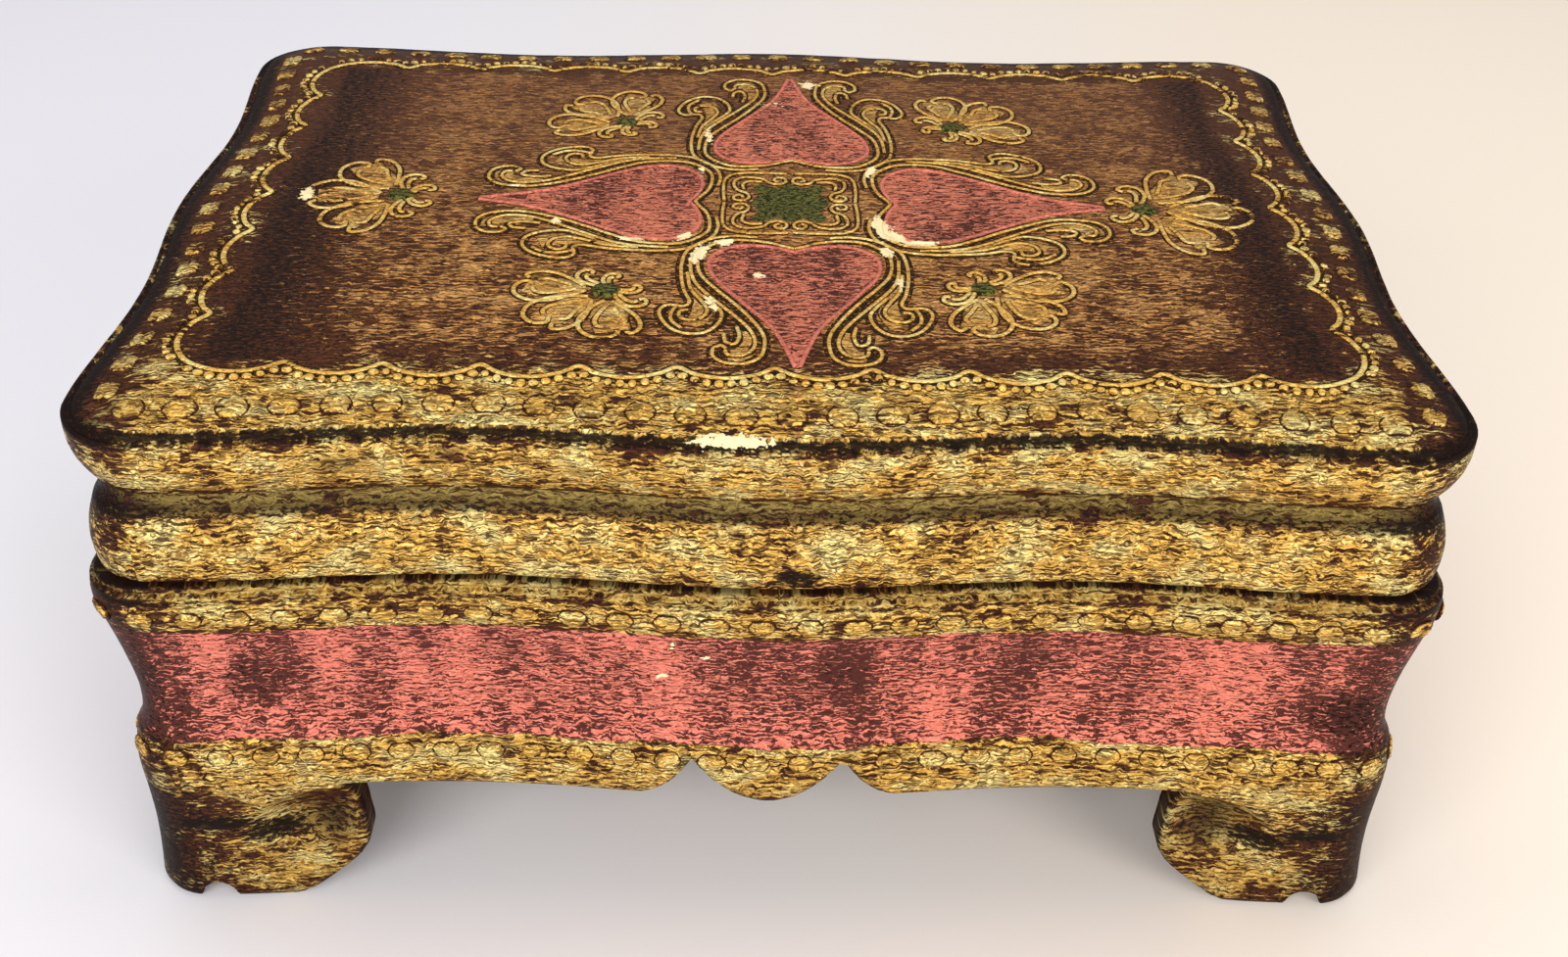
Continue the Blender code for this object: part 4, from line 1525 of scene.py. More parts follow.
@dataclass
class Lid:
    """The lid: a moulded frame, a softly rolled top and the locating lip under it."""

    foot: float = 0.0610
    band_head: float = 0.0718
    slab_foot: float = 0.0750
    arris: float = 0.0843
    roll_foot: float = 0.0850
    top: float = 0.0871
    roll_width: float = 0.0145
    ledge: float = 0.0019
    lip: Plan = Plan(0.1671, 0.1124, 0.003)
    recess: Plan = Plan(0.1611, 0.1064, 0.003)
    lip_foot: float = 0.0572
    ceiling: float = 0.0786
    field_rings: int = 34
    roll_rings: int = 16
    wobble: float = 0.00008
    slab_corner: float = 0.0114
    band_corner: float = 0.0100

    def outer_levels(self) -> list[Level]:
        """The shown part of the lid, from the edge of the flat top down to the rim's underside.

        Returns:
            Pairs of inset and height.
        """
        levels = []
        for share in np.linspace(1.0, 0.0, self.roll_rings):
            rise = (self.top - self.roll_foot) * math.sin(math.pi / 2 * share)
            levels.append((self.ledge + self.roll_width * share, self.roll_foot + rise))
        levels += [(0.00175, 0.08465), (0.0015, 0.0842), (0.0011, 0.0841), (0.0008, 0.08435)]
        levels.append((0.0005, 0.0844))
        levels += reversed(Member(self.slab_foot, self.arris, 0.0030, 0.0003, 0.0010, 13).levels())
        levels.append((0.0034, self.slab_foot - 0.0001))
        levels += reversed(Member(self.band_head, self.slab_foot, 0.0024, 0.0042, -0.0004, 5).levels())
        levels += reversed(Member(self.foot, self.band_head, 0.0013, 0.0024, 0.0010, 15).levels()[1:-1])
        return levels + [(0.0016, self.foot + 0.0002), (0.0021, self.foot), (0.0045, self.foot)]

    def rings(self) -> list[np.ndarray]:
        """The lid's surface, from the middle of the top round to the ceiling's middle.

        Returns:
            Rings of equal count.
        """
        slab = replace(BOX, corner_radius=self.slab_corner)
        band = replace(BOX, corner_radius=self.band_corner)
        flat = slab.ring(self.ledge + self.roll_width)
        made = [at_height(flat * share, self.top) for share in np.linspace(0.02, 0.97, self.field_rings)]
        for inset, height in self.outer_levels():
            plan = slab if height > self.slab_foot - 0.0002 else band
            made.append(at_height(plan.ring(inset), height))
        lip, recess = self.lip.ring(), self.recess.ring()
        made += [at_height(lip, height) for height in (self.foot, self.lip_foot + 0.0004)]
        made.append(at_height(self.lip.ring(0.0004), self.lip_foot))
        made.append(at_height(self.recess.ring(-0.0003), self.lip_foot))
        made += [at_height(recess, height) for height in (self.lip_foot + 0.0003, self.foot, self.ceiling)]
        return made + [at_height(recess * share, self.ceiling) for share in CAP_RINGS[::-1]]

    def build(self, wear_and_shade: WearAndShade, finish: bpy.types.Material) -> bpy.types.Object:
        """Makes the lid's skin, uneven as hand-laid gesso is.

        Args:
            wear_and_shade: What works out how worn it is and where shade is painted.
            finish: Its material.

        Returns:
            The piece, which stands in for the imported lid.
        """
        rings = self.rings()
        mesh = loft("lid_skin", rings)
        places = read_places(mesh)
        hidden = np.zeros(len(places))
        shown = (self.field_rings + len(self.outer_levels()) - 1) * len(rings[0])
        hidden[shown : len(rings) * len(rings[0])] = 1.0
        hidden[-1] = 1.0
        shake = unevenness(places, 0.007, 3.0) + 0.5 * unevenness(places, 0.0022, 9.0)
        places[:, 2] += np.where(hidden > 0, 0.0, self.wobble * shake)
        write_places(mesh, places)
        wear_and_shade.lay(mesh, LID_COATS)
        store(mesh, "hidden", hidden)
        mesh.materials.append(finish)
        return dress_node(add_piece("lid_skin", mesh), "lid_gilding", "lid")


@dataclass
class Body:
    """The body: a moulded frame over an apron and four bracket feet, with a floor in it."""

    foot_face: float = 0.0222
    band_top: float = 0.0313
    cove_top: float = 0.0532
    upper_band_top: float = 0.0595
    rim: float = 0.0607
    cavity: Plan = Plan(0.1683, 0.1136, 0.003)
    under_hollow: Plan = Plan(0.1775, 0.1240, 0.003)
    floor_top: float = 0.0345
    floor_underside: float = 0.0300
    foot_length: float = 0.0312
    belly_height: float = 0.0115
    inner_swell: float = 0.0032
    toe_cut: float = 0.0109
    pendant_half: float = 0.0112
    pendant_drop: float = 0.0012
    cusp_rise: float = 0.0065
    shoulder_width: float = 0.0085
    shoulder_drop: float = 0.0005
    overrun: float = 0.020
    notch_inset: float = 0.0105
    notch_size: Size = (0.0060, 0.0070, 0.0064)
    edge_round: float = 0.0011
    edge_soot: float = 0.8
    scoop_from_corner: float = 0.0268
    scoop_half_length: float = 0.0096
    scoop_half_height: float = 0.0056
    scoop_height: float = 0.0162
    scoop_depth: float = 0.0032
    scoop_tilt: float = 0.0022
    apron_head: float = 0.034
    skin_depth: float = 0.0055
    facing: float = 0.7
    broad_shake: float = 0.00007
    fine_shake: float = 0.00003

    def outer_levels(self) -> list[Level]:
        """The body's outside, from the toes up to the rim.

        Returns:
            Pairs of inset and height.
        """
        levels = [(0.0022, 0.0), (0.0010, 0.0), (0.0003, 0.0004)]
        levels += Member(0.0012, self.foot_face, 0.0, 0.0005, -0.0005, 26).levels()
        levels += Member(self.foot_face, self.band_top, 0.0005, 0.0014, 0.0004, 12).levels()[1:]
        levels += Member(self.band_top, self.cove_top, 0.0014, 0.0004, -0.0018, 24, 0.65).levels()[1:]
        levels += Member(self.cove_top, self.upper_band_top, 0.0004, 0.0, 0.0004, 9).levels()[1:]
        levels += [(0.0004, self.upper_band_top + 0.0001), (0.0008, self.upper_band_top + 0.0002)]
        levels += [(0.0006, self.upper_band_top + 0.0006), (0.0008, self.rim - 0.0002), (0.0014, self.rim)]
        return levels

    def rings(self) -> list[np.ndarray]:
        """The body's surface, from under the floor, over the rim, to the floor's top.

        Returns:
            Rings of equal count.
        """
        under, cavity = self.under_hollow.ring(), self.cavity.ring()
        made = [at_height(under * share, self.floor_underside) for share in CAP_RINGS]
        made += [at_height(under, height) for height in (self.floor_underside, 0.022, 0.012, 0.0)]
        made += [at_height(BOX.ring(inset), height) for inset, height in self.outer_levels()]
        made += [at_height(cavity, height) for height in (self.rim, 0.052, self.floor_top)]
        return made + [at_height(cavity * share, self.floor_top) for share in CAP_RINGS[::-1]]

    def foot_edge(self, corner: float) -> list[Place]:
        """A foot's inner edge, from the apron down.

        Args:
            corner: How far along the side the box's corner is.

        Returns:
            Pairs of a place along the side and a height.
        """
        start = corner - self.foot_length
        edge = []
        for share in np.arange(10) / 10:
            height = self.foot_face + (self.belly_height - self.foot_face) * share
            edge.append((start - self.inner_swell * math.sin(math.pi / 2 * share), height))
        for share in np.arange(17) / 16:
            along = start - self.inner_swell + self.toe_cut * (1 - math.cos(math.pi / 2 * share))
            edge.append((along, self.belly_height * (1 - share)))
        edge.append((edge[-1][0], -self.overrun))
        return edge

    def pendant_edge(self) -> list[Place]:
        """The front apron's lower edge from its middle out: a lobe, a cusp and a shoulder.

        Returns:
            Pairs of a place along the front and a height.
        """
        lowest = self.foot_face - self.pendant_drop
        shoulder = self.foot_face - self.shoulder_drop
        cusp = self.foot_face + self.cusp_rise
        edge = [(self.pendant_half * s, lowest + (cusp - lowest) * s**2) for s in np.arange(14) / 13]
        for share in np.arange(12, -1, -1) / 13:
            along = self.pendant_half + self.shoulder_width * (1 - share)
            edge.append((along, shoulder + (cusp - shoulder) * share**2))
        return edge

    def openings(self) -> dict[str, list[Place]]:
        """The outlines of the openings under the apron.

        Returns:
            The front's and the side's, each from one foot to the other.
        """
        front = self.pendant_edge() + self.foot_edge(BOX.width / 2)
        side = self.foot_edge(BOX.depth / 2)
        whole = {}
        for name, half in (("front", front), ("side", side)):
            whole[name] = [(-along, height) for along, height in reversed(half) if along > 0] + half
        return whole

    def cutter(self, name: str, outline: Sequence[Place], span: float, turn: float) -> bpy.types.Object:
        """A prism that is run through the body under the apron.

        Args:
            name: Its name.
            outline: Its outline, along the side and up.
            span: How long it is.
            turn: How far it is turned round the upright axis, in radians.

        Returns:
            The prism.
        """
        solid = bmesh.new()
        corners = [solid.verts.new((along, -span / 2, height)) for along, height in outline]
        pushed = bmesh.ops.extrude_face_region(solid, geom=[solid.faces.new(corners)])["geom"]
        moved = [item for item in pushed if isinstance(item, bmesh.types.BMVert)]
        bmesh.ops.translate(solid, vec=(0.0, span, 0.0), verts=moved)
        bmesh.ops.rotate(solid, matrix=Matrix.Rotation(turn, 3, "Z"), verts=solid.verts)
        bmesh.ops.recalc_face_normals(solid, faces=solid.faces)
        mesh = bpy.data.meshes.new(name)
        solid.to_mesh(mesh)
        solid.free()
        return add_piece(name, mesh)

    def notches(self) -> bpy.types.Object:
        """The small arches in the toes, front and back.

        Returns:
            The four rods that cut them, as one object.
        """
        solid = bmesh.new()
        upright = Matrix.Diagonal((*self.notch_size, 1.0)) @ Matrix.Rotation(math.pi / 2, 4, "X")
        rod = {"segments": 24, "radius1": 0.5, "radius2": 0.5, "depth": 1.0, "cap_ends": True}
        for side in (-1, 1):
            for end in (-1, 1):
                place = (side * (BOX.width / 2 - self.notch_inset), end * (BOX.depth / 2 - 0.003), 0.0)
                bmesh.ops.create_cone(solid, matrix=Matrix.Translation(place) @ upright, **rod)
        mesh = bpy.data.meshes.new("toe_notches")
        solid.to_mesh(mesh)
        solid.free()
        return add_piece("toe_notches", mesh)

    def cut(self, piece: bpy.types.Object, cutters: Sequence[bpy.types.Object]) -> bpy.types.Mesh:
        """Cuts solids out of a piece.

        Args:
            piece: The piece, which is spent.
            cutters: The solids, which are spent too.

        Returns:
            The plain mesh that is left.
        """
        for cutter in cutters:
            boolean = piece.modifiers.new(cutter.name, "BOOLEAN")
            boolean.operation = "DIFFERENCE"
            boolean.solver = "EXACT"
            boolean.object = cutter
        bpy.context.view_layer.update()
        graph = bpy.context.evaluated_depsgraph_get()
        mesh = bpy.data.meshes.new_from_object(piece.evaluated_get(graph))
        for spent in (piece, *cutters):
            bpy.data.objects.remove(spent)
        return mesh

    def soften(self, places: np.ndarray, outside: Outside) -> tuple[np.ndarray, np.ndarray]:
        """Rounds the edges of the openings, scoops the feet and roughens the whole outside.

        Args:
            places: The mesh's points.
            outside: The box's outline.

        Returns:
            The moved points, and how near each one is to an opening's edge, from 0 to 1.
        """
        run, inset = outside.measure(places)
        nearest = [outside.tree.find((x, y, 0.0))[1] for x, y in places[:, :2]]
        tangent = outside.tangent[nearest]
        inward = np.stack([-tangent[:, 1], tangent[:, 0]], 1)
        push, edge = np.zeros(len(places)), np.zeros(len(places))
        faces_front = np.abs(inward[:, 1]) > self.facing
        shown = inset < self.skin_depth
        for name, along in (("front", places[:, 0]), ("side", places[:, 1])):
            faced = faces_front if name == "front" else ~faces_front
            chosen = shown & faced & (places[:, 2] < self.apron_head)
            gap = self.gap(along[chosen], places[chosen, 2], self.openings()[name])
            near = np.clip(1 - gap / self.edge_round, 0.0, 1.0)
            edge[chosen] = near
            push[chosen] = self.edge_round * (1 - np.sqrt(np.clip(1 - near**2, 0.0, 1.0)))
        reach = BOX.width / 2 - self.scoop_from_corner
        across = (np.abs(places[:, 0]) - reach) / self.scoop_half_length
        tilt = self.scoop_height - self.scoop_tilt * across
        up = (places[:, 2] - tilt) / self.scoop_half_height
        scoop = np.clip(1 - across**2 - up**2, 0.0, 1.0) * self.scoop_depth
        push += np.where(shown & faces_front, scoop, 0.0)
        ease = smooth(0.0065, 0.0045, inset)
        fade = smooth(0.0, 0.0006, places[:, 2])
        rough = self.broad_shake * unevenness(places, 0.006, 5.0)
        rough = rough + self.fine_shake * unevenness(places, 0.0018, 7.0)
        moved = places.copy()
        moved[:, :2] += inward * ((push + rough * fade) * ease)[:, None]
        return moved, edge * ease

    @staticmethod
    def gap(along: np.ndarray, up: np.ndarray, outline: Sequence[Place]) -> np.ndarray:
        """The distance from places on a face to an opening's outline.

        Args:
            along: How far along the side each place is.
            up: How high each place is.
            outline: The outline, along and up.

        Returns:
            The distances.
        """
        line = np.array(outline)
        start, end = line[:-1], line[1:]
        reach = end - start
        best = np.full(len(along), 1.0)
        for (x, y), (dx, dy) in zip(start, reach):
            length = dx * dx + dy * dy
            if length > TINY:
                share = np.clip(((along - x) * dx + (up - y) * dy) / length, 0.0, 1.0)
                best = np.minimum(best, np.hypot(along - x - share * dx, up - y - share * dy))
        return best

    def build(self, wear_and_shade: WearAndShade, finish: bpy.types.Material) -> bpy.types.Object:
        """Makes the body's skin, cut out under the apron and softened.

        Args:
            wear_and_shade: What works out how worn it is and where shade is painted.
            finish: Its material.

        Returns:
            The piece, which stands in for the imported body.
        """
        whole = add_piece("body_whole", loft("body_whole", self.rings()))
        outlines = self.openings()
        cutters = [
            self.cutter("front_opening", outlines["front"], BOX.depth + 2 * self.overrun, 0.0),
            self.cutter("side_opening", outlines["side"], BOX.width + 2 * self.overrun, math.pi / 2),
            self.notches(),
        ]
        mesh = self.cut(whole, cutters)
        mesh.name = "body_skin"
        places, edge = self.soften(read_places(mesh), wear_and_shade.outside)
        write_places(mesh, places)
        _, inset = wear_and_shade.outside.measure(places)
        wear_and_shade.lay(mesh, BODY_COATS)
        store(mesh, "soot_and_shade", np.maximum(read_values(mesh, "soot_and_shade"), self.edge_soot * edge))
        store(mesh, "hidden", smooth(0.0036, 0.0048, inset))
        middle = (self.band_top + self.cove_top) / 2
        half = (self.cove_top - self.band_top) / 2
        store(mesh, "cove", (half - np.abs(places[:, 2] - middle)) / MM)
        mesh.materials.clear()
        mesh.materials.append(finish)
        return dress_node(add_piece("body_skin", mesh), "body_gilding", "body")


@dataclass
class HeartSurround:
    """The raised lines round the four hearts, drawn for one half heart: out, then across."""

    rim: Sequence[Place] = (
        (16.5, 0.0), (15.4, 2.0), (14.5, 5.8), (15.1, 9.3), (17.4, 11.9), (20.2, 12.8), (24.2, 12.1),
        (28.4, 9.9), (33.1, 7.0), (37.1, 4.5), (40.4, 2.9), (43.8, 1.8), (46.8, 1.0), (49.6, 0.3),
    )
    outline: Sequence[Place] = (
        (15.5, 0.0), (14.8, 1.6), (13.6, 3.9), (13.0, 7.3), (13.4, 10.6), (16.1, 13.6), (19.1, 14.5),
        (23.8, 14.0), (27.8, 11.9), (32.4, 8.9), (37.1, 6.3), (41.1, 4.7), (44.4, 4.5), (47.4, 5.2),
        (49.0, 7.3), (48.8, 9.9), (47.2, 11.5), (45.2, 11.6), (44.2, 10.6), (45.0, 9.8),
    )
    inner_volute: Sequence[Place] = (
        (19.1, 15.6), (23.8, 15.3), (27.4, 14.2), (31.4, 11.8), (35.8, 8.9), (39.8, 6.6), (43.1, 5.8),
        (45.6, 6.3), (47.0, 7.9), (46.6, 9.6), (45.5, 9.9),
    )
    outer_volute: Sequence[Place] = (
        (12.0, 5.5), (11.7, 9.0), (12.8, 12.6), (16.2, 15.9), (20.4, 16.8), (25.1, 16.7), (29.1, 16.1),
        (32.0, 15.3), (33.4, 16.0), (33.1, 18.3), (34.4, 19.4), (36.4, 19.3), (39.4, 17.9), (41.1, 15.6),
        (40.8, 12.9), (38.4, 11.1), (35.4, 10.6), (33.1, 11.6), (30.4, 13.3),
    )
    curl: Sequence[Place] = (
        (23.6, 15.9), (28.4, 15.2), (31.8, 13.6), (34.4, 12.7), (36.6, 13.4), (37.3, 15.3), (36.3, 16.6),
        (34.8, 16.5), (34.5, 15.4),
    )
    leaf: Sequence[Place] = ((39.1, 8.4), (41.6, 8.0), (43.8, 8.6), (43.2, 9.9), (41.2, 10.2))
    bud: Sequence[Place] = ((33.0, 17.0), (35.4, 17.8), (37.6, 17.6), (39.6, 16.2))
    pad: Sequence[Place] = ((27.0, 15.2), (31.0, 13.6), (35.0, 13.4), (38.6, 14.6))
    tip_pad: Sequence[Place] = ((40.4, 7.4), (43.6, 6.6), (46.4, 7.6), (46.8, 9.6))

    def pads(self) -> list[Stroke]:
        """The broad gilded pads under the volutes' ends."""
        broad, tip = Stroke(self.pad, 1.0, (0.3, 0.6), rise=1.4), Stroke(self.tip_pad, 0.8, (0.3, 0.6))
        return self.repeated((broad, tip))

    def rims(self) -> list[Stroke]:
        """The coral lines that hug the hearts."""
        return self.repeated([Stroke(self.rim, 0.9)])

    def strokes(self) -> list[Stroke]:
        """The gilded strokes round the hearts.

        Returns:
            The strokes of all eight half hearts.
        """
        half = (
            Stroke(self.outline, 1.25),
            Stroke(self.inner_volute, 0.85),
            Stroke(self.outer_volute, 1.1),
            Stroke(self.curl, 1.3, (0.3, 0.7), rise=1.5),
            Stroke(self.leaf, 2.4, (0.3, 0.4)),
            Stroke(self.bud, 2.2, (0.3, 0.4)),
        )
        return self.repeated(half)

    @staticmethod
    def repeated(half: Sequence[Stroke]) -> list[Stroke]:
        """One half heart's strokes on both sides of all four hearts."""
        ways = [(quarter * math.pi / 2, flip) for quarter in range(4) for flip in (False, True)]
        return [line.moved(turn, flip, PATTERN_CENTRE) for line in half for turn, flip in ways]


@dataclass
class Strapwork:
    """The scrolled square frame round the green field."""

    scroll: Sequence[Place] = (
        (1.75, 7.4), (2.5, 7.9), (2.0, 8.9), (0.8, 8.7), (0.6, 7.3), (1.7, 6.5), (3.2, 6.9), (4.1, 8.2),
        (5.8, 8.9), (7.6, 8.8), (8.8, 7.6), (8.9, 5.8), (8.2, 4.1), (6.9, 3.2), (6.5, 1.7), (7.3, 0.6),
        (8.7, 0.8), (8.9, 2.0), (7.9, 2.5), (7.4, 1.75),
    )
    frame_line: Sequence[Place] = (
        (0.4, 10.4), (4.0, 10.6), (8.3, 10.3), (10.3, 8.3), (10.6, 4.0), (10.4, 0.4),
    )
    corner: Sequence[Place] = ((4.4, 7.3), (6.4, 7.5), (7.5, 6.4), (7.3, 4.4))

    def strokes(self) -> list[Stroke]:
        """The frame's strokes.

        Returns:
            The strokes of all four quarters.
        """
        quarter = (Stroke(self.scroll, 0.9), Stroke(self.frame_line, 0.8), Stroke(self.corner, 0.9))
        turns = [step * math.pi / 2 for step in range(4)]
        return [line.moved(turn, False, FIELD_CENTRE) for line in quarter for turn in turns]


@dataclass
class Palmette:
    """A boss with a fan of curled leaves, drawn with its heading along x."""

    centre: Place
    heading: float
    size: float = 1.0
    fan: Sequence[tuple[float, float]] = ((0.0, 1.06), (52.0, 1.04), (108.0, 0.54), (152.0, 0.40))
    outer: Sequence[Place] = (
        (2.8, 0.4), (4.6, 2.2), (7.2, 3.9), (10.2, 4.1), (12.4, 2.5), (12.7, 0.2), (11.4, -1.1),
        (10.2, -0.2),
    )
    middle: Sequence[Place] = ((4.2, 0.1), (6.0, 1.1), (8.0, 1.9), (9.6, 1.7), (10.2, 0.8))
    lower: Sequence[Place] = (
        (3.2, -0.8), (5.2, -2.4), (7.8, -3.9), (10.4, -4.1), (11.9, -2.9), (11.2, -2.0),
    )
    inner: Sequence[Place] = ((5.0, -0.9), (6.8, -1.5), (8.6, -2.2), (9.6, -1.6))
    pad: Sequence[Place] = ((3.0, 0.0), (6.0, -0.1), (9.0, -0.1), (11.2, -0.4))

    def spread(self, blades: Sequence[Stroke], small_blades: Sequence[Stroke]) -> list[Stroke]:
        """The strokes of every leaf of the fan.

        Args:
            blades: A large leaf's strokes.
            small_blades: The strokes of the small worn leaves behind the boss.

        Returns:
            The strokes, in place.
        """
        centre = Vector(self.centre) * MM
        made = []
        for flip in (False, True):
            side = -1 if flip else 1
            for angle, reach in self.fan:
                turn = math.radians(self.heading + side * angle)
                if flip and not angle:
                    continue
                for blade in blades if angle < 90 else small_blades:
                    sized = replace(blade, width=blade.width * reach)
                    made.append(sized.moved(turn, not flip, centre, reach * self.size))
        return made

    def strokes(self) -> list[Stroke]:
        """The raised lines of the leaves.

        Returns:
            The strokes of the whole fan, with fewer in the small leaves.
        """
        lines = ((self.outer, 1.9), (self.lower, 1.8), (self.middle, 1.7), (self.inner, 1.5))
        blades = [Stroke(points, width, (0.3, 0.8), rise=1.4) for points, width in lines]
        return self.spread(blades, blades[::2])

    def pads(self) -> list[Stroke]:
        """The broad gilded pads under the three large leaves."""
        return self.spread([Stroke(self.pad, 1.0, (0.25, 0.7), rise=1.5)], ())


@dataclass
class ScallopBorder:
    """The scalloped line round the lid's field, and the beads outside it."""

    half_width: float = 79.4
    half_depth: float = 51.0
    pitch: float = 13.5
    rise: float = 2.6
    steps_per_scallop: int = 7
    beads_per_scallop: int = 8
    bead_gap: float = 1.5

    def places(self, per_scallop: int, outward: float, shift: float = 0.0) -> list[list[Place]]:
        """Places along the scallops of each of the four sides.

        Args:
            per_scallop: Places in each scallop.
            outward: How far outside the line they lie.
            shift: Where the first place of a scallop is, as a share of the spacing.

        Returns:
            A list of places for each side.
        """
        sides = []
        for quarter in range(4):
            halves = (self.half_width, self.half_depth)
            run, reach = halves if quarter % 2 == 0 else reversed(halves)
            count = round(2 * run / self.pitch)
            turn = quarter * math.pi / 2
            cos, sin = math.cos(turn), math.sin(turn)
            side = []
            for step in range(count * per_scallop):
                share = (step + shift) / per_scallop
                rise = self.rise * abs(math.sin(math.pi * share)) ** 0.8
                along = 2 * run * share / count - run
                across = -reach - rise - outward
                side.append((along * cos - across * sin, along * sin + across * cos))
            sides.append(side)
        return sides

    def line(self) -> Stroke:
        """The scalloped line as one closed stroke."""
        return Stroke(list(chain.from_iterable(self.places(self.steps_per_scallop, 0.0))), closed=True)

    def beads(self) -> list[Place]:
        """The beads' places."""
        return list(chain.from_iterable(self.places(self.beads_per_scallop, self.bead_gap, 0.5)))


PALMETTES = (
    Palmette((-24.4, -30.2), 225.0),
    Palmette((30.6, -28.2), -45.0),
    Palmette((-25.0, 28.6), 135.0),
    Palmette((30.8, 28.4), 45.0),
    Palmette((-58.8, -0.4), 180.0, 1.1),
    Palmette((58.9, -1.6), 0.0, 1.25),
)


@dataclass
class LidOrnament:
    """All the raised gesso on the lid's top."""

    slot: str = "lid_gilding"
    line_relief: float = 0.00027
    coin_inset: float = 0.0065
    coin_pitch: float = 0.00665
    coin_size: Size = (0.0022, 0.0018, 0.00045)
    bead_size: Size = (0.00072, 0.00068, 0.00048)
    boss_size: Size = (0.0022, 0.0020, 0.0006)

    @staticmethod
    def seats(relief: Relief, places: Iterable[Place]) -> list[Seat]:
        """Seats on the lid's top, all headed along the box's length.

        Args:
            relief: The lid's surface.
            places: The seats' places in plan, in millimetres.

        Returns:
            The seats.
        """
        ahead = Vector((1.0, 0.0, 0.0))
        return [Seat(*relief.under(x * MM, y * MM), ahead) for x, y in places]

    def build(
        self,
        relief: Relief,
        line: bpy.types.Material,
        coin: bpy.types.Material,
        dark: bpy.types.Material,
        boss: bpy.types.Material,
        coral: bpy.types.Material,
    ) -> None:
        """Raises the lines, beads, coins and bosses.

        Args:
            relief: The lid's surface.
            line: The finish of lines and beads.
            coin: The finish of the border's coins and of the pads under leaves and volutes.
            dark: The finish of the channels beside the lines.
            boss: The finish of the palmettes' bosses.
            coral: The finish of the lines that hug the hearts.
        """
        border, hearts = ScallopBorder(), HeartSurround()
        leaves = [stroke for palmette in PALMETTES for stroke in palmette.strokes()]
        pads = [stroke for palmette in PALMETTES for stroke in palmette.pads()]
        for name, strokes, half_width, height, lift in (
            ("palmette_pads", pads, 0.0029, 0.00010, 0.42),
            ("heart_pads", hearts.pads(), 0.0017, 0.00009, 0.38),
        ):
            dress_node(relief.lines(name, strokes, half_width, height, coin, lift, 0.5), self.slot)
        for name, strokes, half_width, channel, sunk in (
            ("heart_lines", hearts.strokes(), 0.00032, 0.00088, 0.00011),
            ("strapwork", Strapwork().strokes(), 0.00028, 0.00060, 0.00006),
            ("palmette_leaves", leaves, 0.00040, 0.00066, 0.00013),
            ("scallop_line", [border.line()], 0.00046, 0.00100, 0.00006),
        ):
            dress_node(relief.lines(name, strokes, half_width, self.line_relief, line), self.slot)
            dress_node(relief.lines(name + "_channels", strokes, channel, sunk, dark), self.slot)
        dress_node(relief.lines("heart_rims", hearts.rims(), 0.00034, 0.00022, coral), self.slot)
        beads = self.seats(relief, border.beads())
        coins = relief.row_round(self.coin_inset, self.coin_pitch)
        bosses = self.seats(relief, [palmette.centre for palmette in PALMETTES])
        bead_shape = Stud("bead", sides=10)
        coin_shape = Stud("coin", lobes=6, lobe_depth=0.05, squareness=2.7, cleft=0.5, sides=24)
        boss_shape = Stud("boss", lobes=5, lobe_depth=0.08, sides=20)
        for name, shape, seats, size, finish, unevenness, lift in (
            ("border_beads", bead_shape, beads, self.bead_size, line, 0.2, 0.3),
            ("border_coins", coin_shape, coins, self.coin_size, coin, 0.08, 0.45),
            ("palmette_bosses", boss_shape, bosses, self.boss_size, boss, 0.08, 0.3),
        ):
            dress_node(relief.studs(name, shape, seats, size, finish, unevenness, lift), self.slot)


@dataclass
class BodyOrnament:
    """The rows of ovals on the body's upper and lower bands."""

    rows: Sequence[tuple[str, float, float]] = (
        ("upper_ovals", 0.0558, 0.0),
        ("lower_ovals", 0.0289, 0.0006),
    )
    pitch: float = 0.00655
    size: Size = (0.0021, 0.0015, 0.00045)

    def build(self, relief: Relief, finish: bpy.types.Material) -> None:
        """Raises both rows of ovals.

        Args:
            relief: The body's surface.
            finish: Their material.
        """
        oval = Stud("oval", lobes=6, lobe_depth=0.05, squareness=2.4, cleft=0.25, sides=24)
        for name, height, inset in self.rows:
            seats = relief.row_round(inset, self.pitch, height)
            piece = relief.studs(name, oval, seats, self.size, finish, 0.08, 0.4)
            dress_node(piece, "body_gilding")


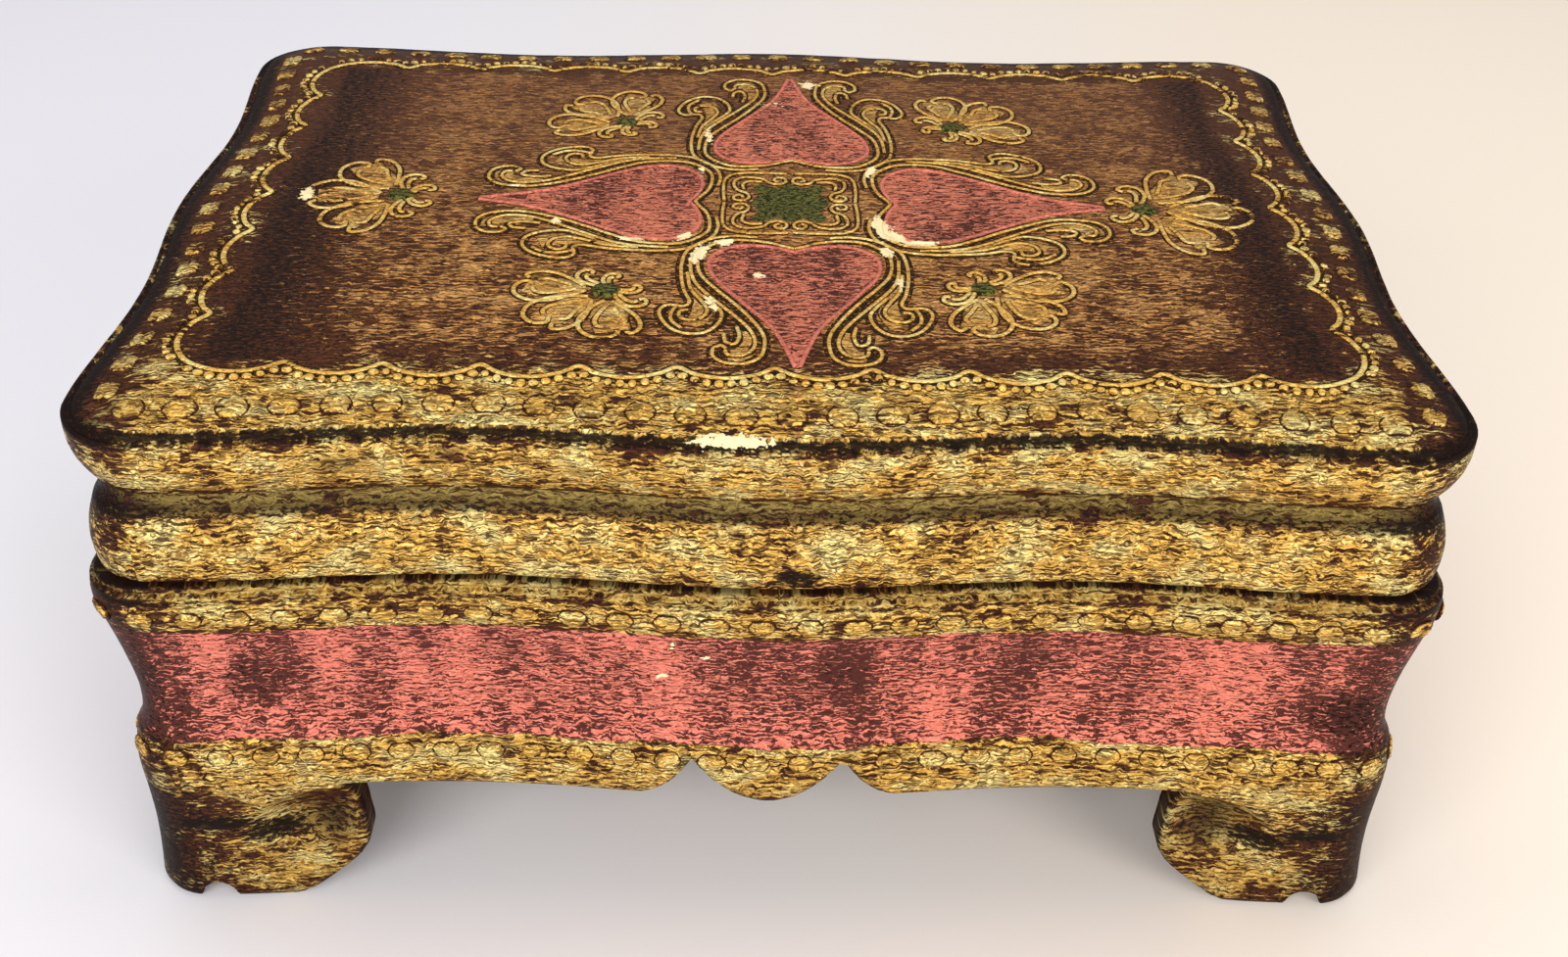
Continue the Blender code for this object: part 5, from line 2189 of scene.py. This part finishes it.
@dataclass
class Studio:
    """The camera, the pale floor and the soft lights."""

    place: Size = (-0.0033, -0.25672, 0.21405)
    turn: Size = (54.800, -1.267, -0.487)
    lens: float = 40.853

    def build(self) -> None:
        """Sets up the camera, floor, lights and world."""
        scene = bpy.context.scene
        camera = bpy.data.objects.new("camera", bpy.data.cameras.new("camera"))
        camera.location = self.place
        camera.rotation_euler = [math.radians(angle) for angle in self.turn]
        camera.data.sensor_width = 36.0
        camera.data.lens = self.lens
        camera.data.clip_start = 0.01
        scene.collection.objects.link(camera)
        scene.camera = camera
        scene.view_settings.view_transform = "Standard"
        self.floor()
        foot = (0.0, 0.0, 0.03)
        self.light("overhead", (0.0, 0.20, 0.80), (0.0, 0.0, 0.05), (1.1, 0.6), 4.0, (1.0, 0.98, 0.96))
        self.light("front_left", (-0.45, -0.85, 0.48), foot, (0.8, 0.6), 8.8, (1.0, 0.98, 0.97))
        self.light("front_right", (0.60, -0.75, 0.42), foot, (0.6, 0.5), 6.1, (1.0, 0.95, 0.90))
        world = bpy.data.worlds.new("studio")
        scene.world = world
        world.use_nodes = True
        sky = world.node_tree.nodes["Background"]
        sky.inputs["Color"].default_value = (0.98, 0.97, 1.0, 1.0)
        sky.inputs["Strength"].default_value = 0.40

    def floor(self) -> None:
        """A wide pale floor with painted light: tinted cooler to the left and warmer to the right."""
        solid = bmesh.new()
        bmesh.ops.create_grid(solid, x_segments=4, y_segments=4, size=2.5)
        mesh = bpy.data.meshes.new("floor")
        solid.to_mesh(mesh)
        solid.free()
        graph = Graph("pale_floor")
        where = graph.node("ShaderNodeTexCoord").outputs["Object"]
        across = graph.node("ShaderNodeSeparateXYZ", {0: where}).outputs[0]
        # Painted light: the floor is tinted cooler to the left and warmer to the right
        painted_light_tone = graph.mix(graph.ramp(across, -0.15, 0.2), shade(226, 226, 232), shade(240, 228, 212))
        graph.wire(graph.shader, {"Base Color": painted_light_tone, "Roughness": 0.7})
        mesh.materials.append(graph.material)
        add_piece("floor", mesh)

    def light(
        self,
        name: str,
        place: Sequence[float],
        target: Sequence[float],
        size: Place,
        power: float,
        colour: Sequence[float],
    ) -> None:
        """Adds a soft box.

        Args:
            name: The light's name.
            place: Where it hangs.
            target: What it faces.
            size: Its width and height, in metres.
            power: Its power in watts.
            colour: Its colour.
        """
        lamp = bpy.data.lights.new(name, "AREA")
        lamp.shape = "RECTANGLE"
        lamp.size, lamp.size_y = size
        lamp.energy = power
        lamp.color = colour
        box = bpy.data.objects.new(name, lamp)
        box.location = place
        box.rotation_euler = (Vector(target) - Vector(place)).to_track_quat("-Z", "Y").to_euler()
        bpy.context.scene.collection.objects.link(box)


def main() -> None:
    """Builds the stage, the body, the lid and their ornament."""
    logging.basicConfig(level=logging.INFO, format="%(message)s")
    Studio().build()
    wear_and_shade = WearAndShade(Outside())
    ridge, stud = Growth(ridge_tree()), Growth(stud_tree())
    body = Body().build(wear_and_shade, WornGilding("body_gilding", Paint.COVE).build())
    lid = Lid().build(wear_and_shade, WornGilding("lid_gilding", Paint.HEARTS, paint_wear=0.616).build())
    raised = WornGilding("raised_gilding", crested=True, crackle=0.45).build()
    dark = DarkChannel("dark_channel").build()
    coin = WornGilding("coin_gilding", crested=True, crackle=0.85).build()
    coral = WornGilding("coral_line", Paint.CORAL).build()
    boss = WornGilding("green_boss", Paint.GREEN, crested=True).build()
    LidOrnament().build(Relief(lid, wear_and_shade, LID_COATS, ridge, stud), raised, coin, dark, boss, coral)
    BodyOrnament().build(Relief(body, wear_and_shade, BODY_COATS, ridge, stud), coin)


if __name__ == "__main__":
    main()
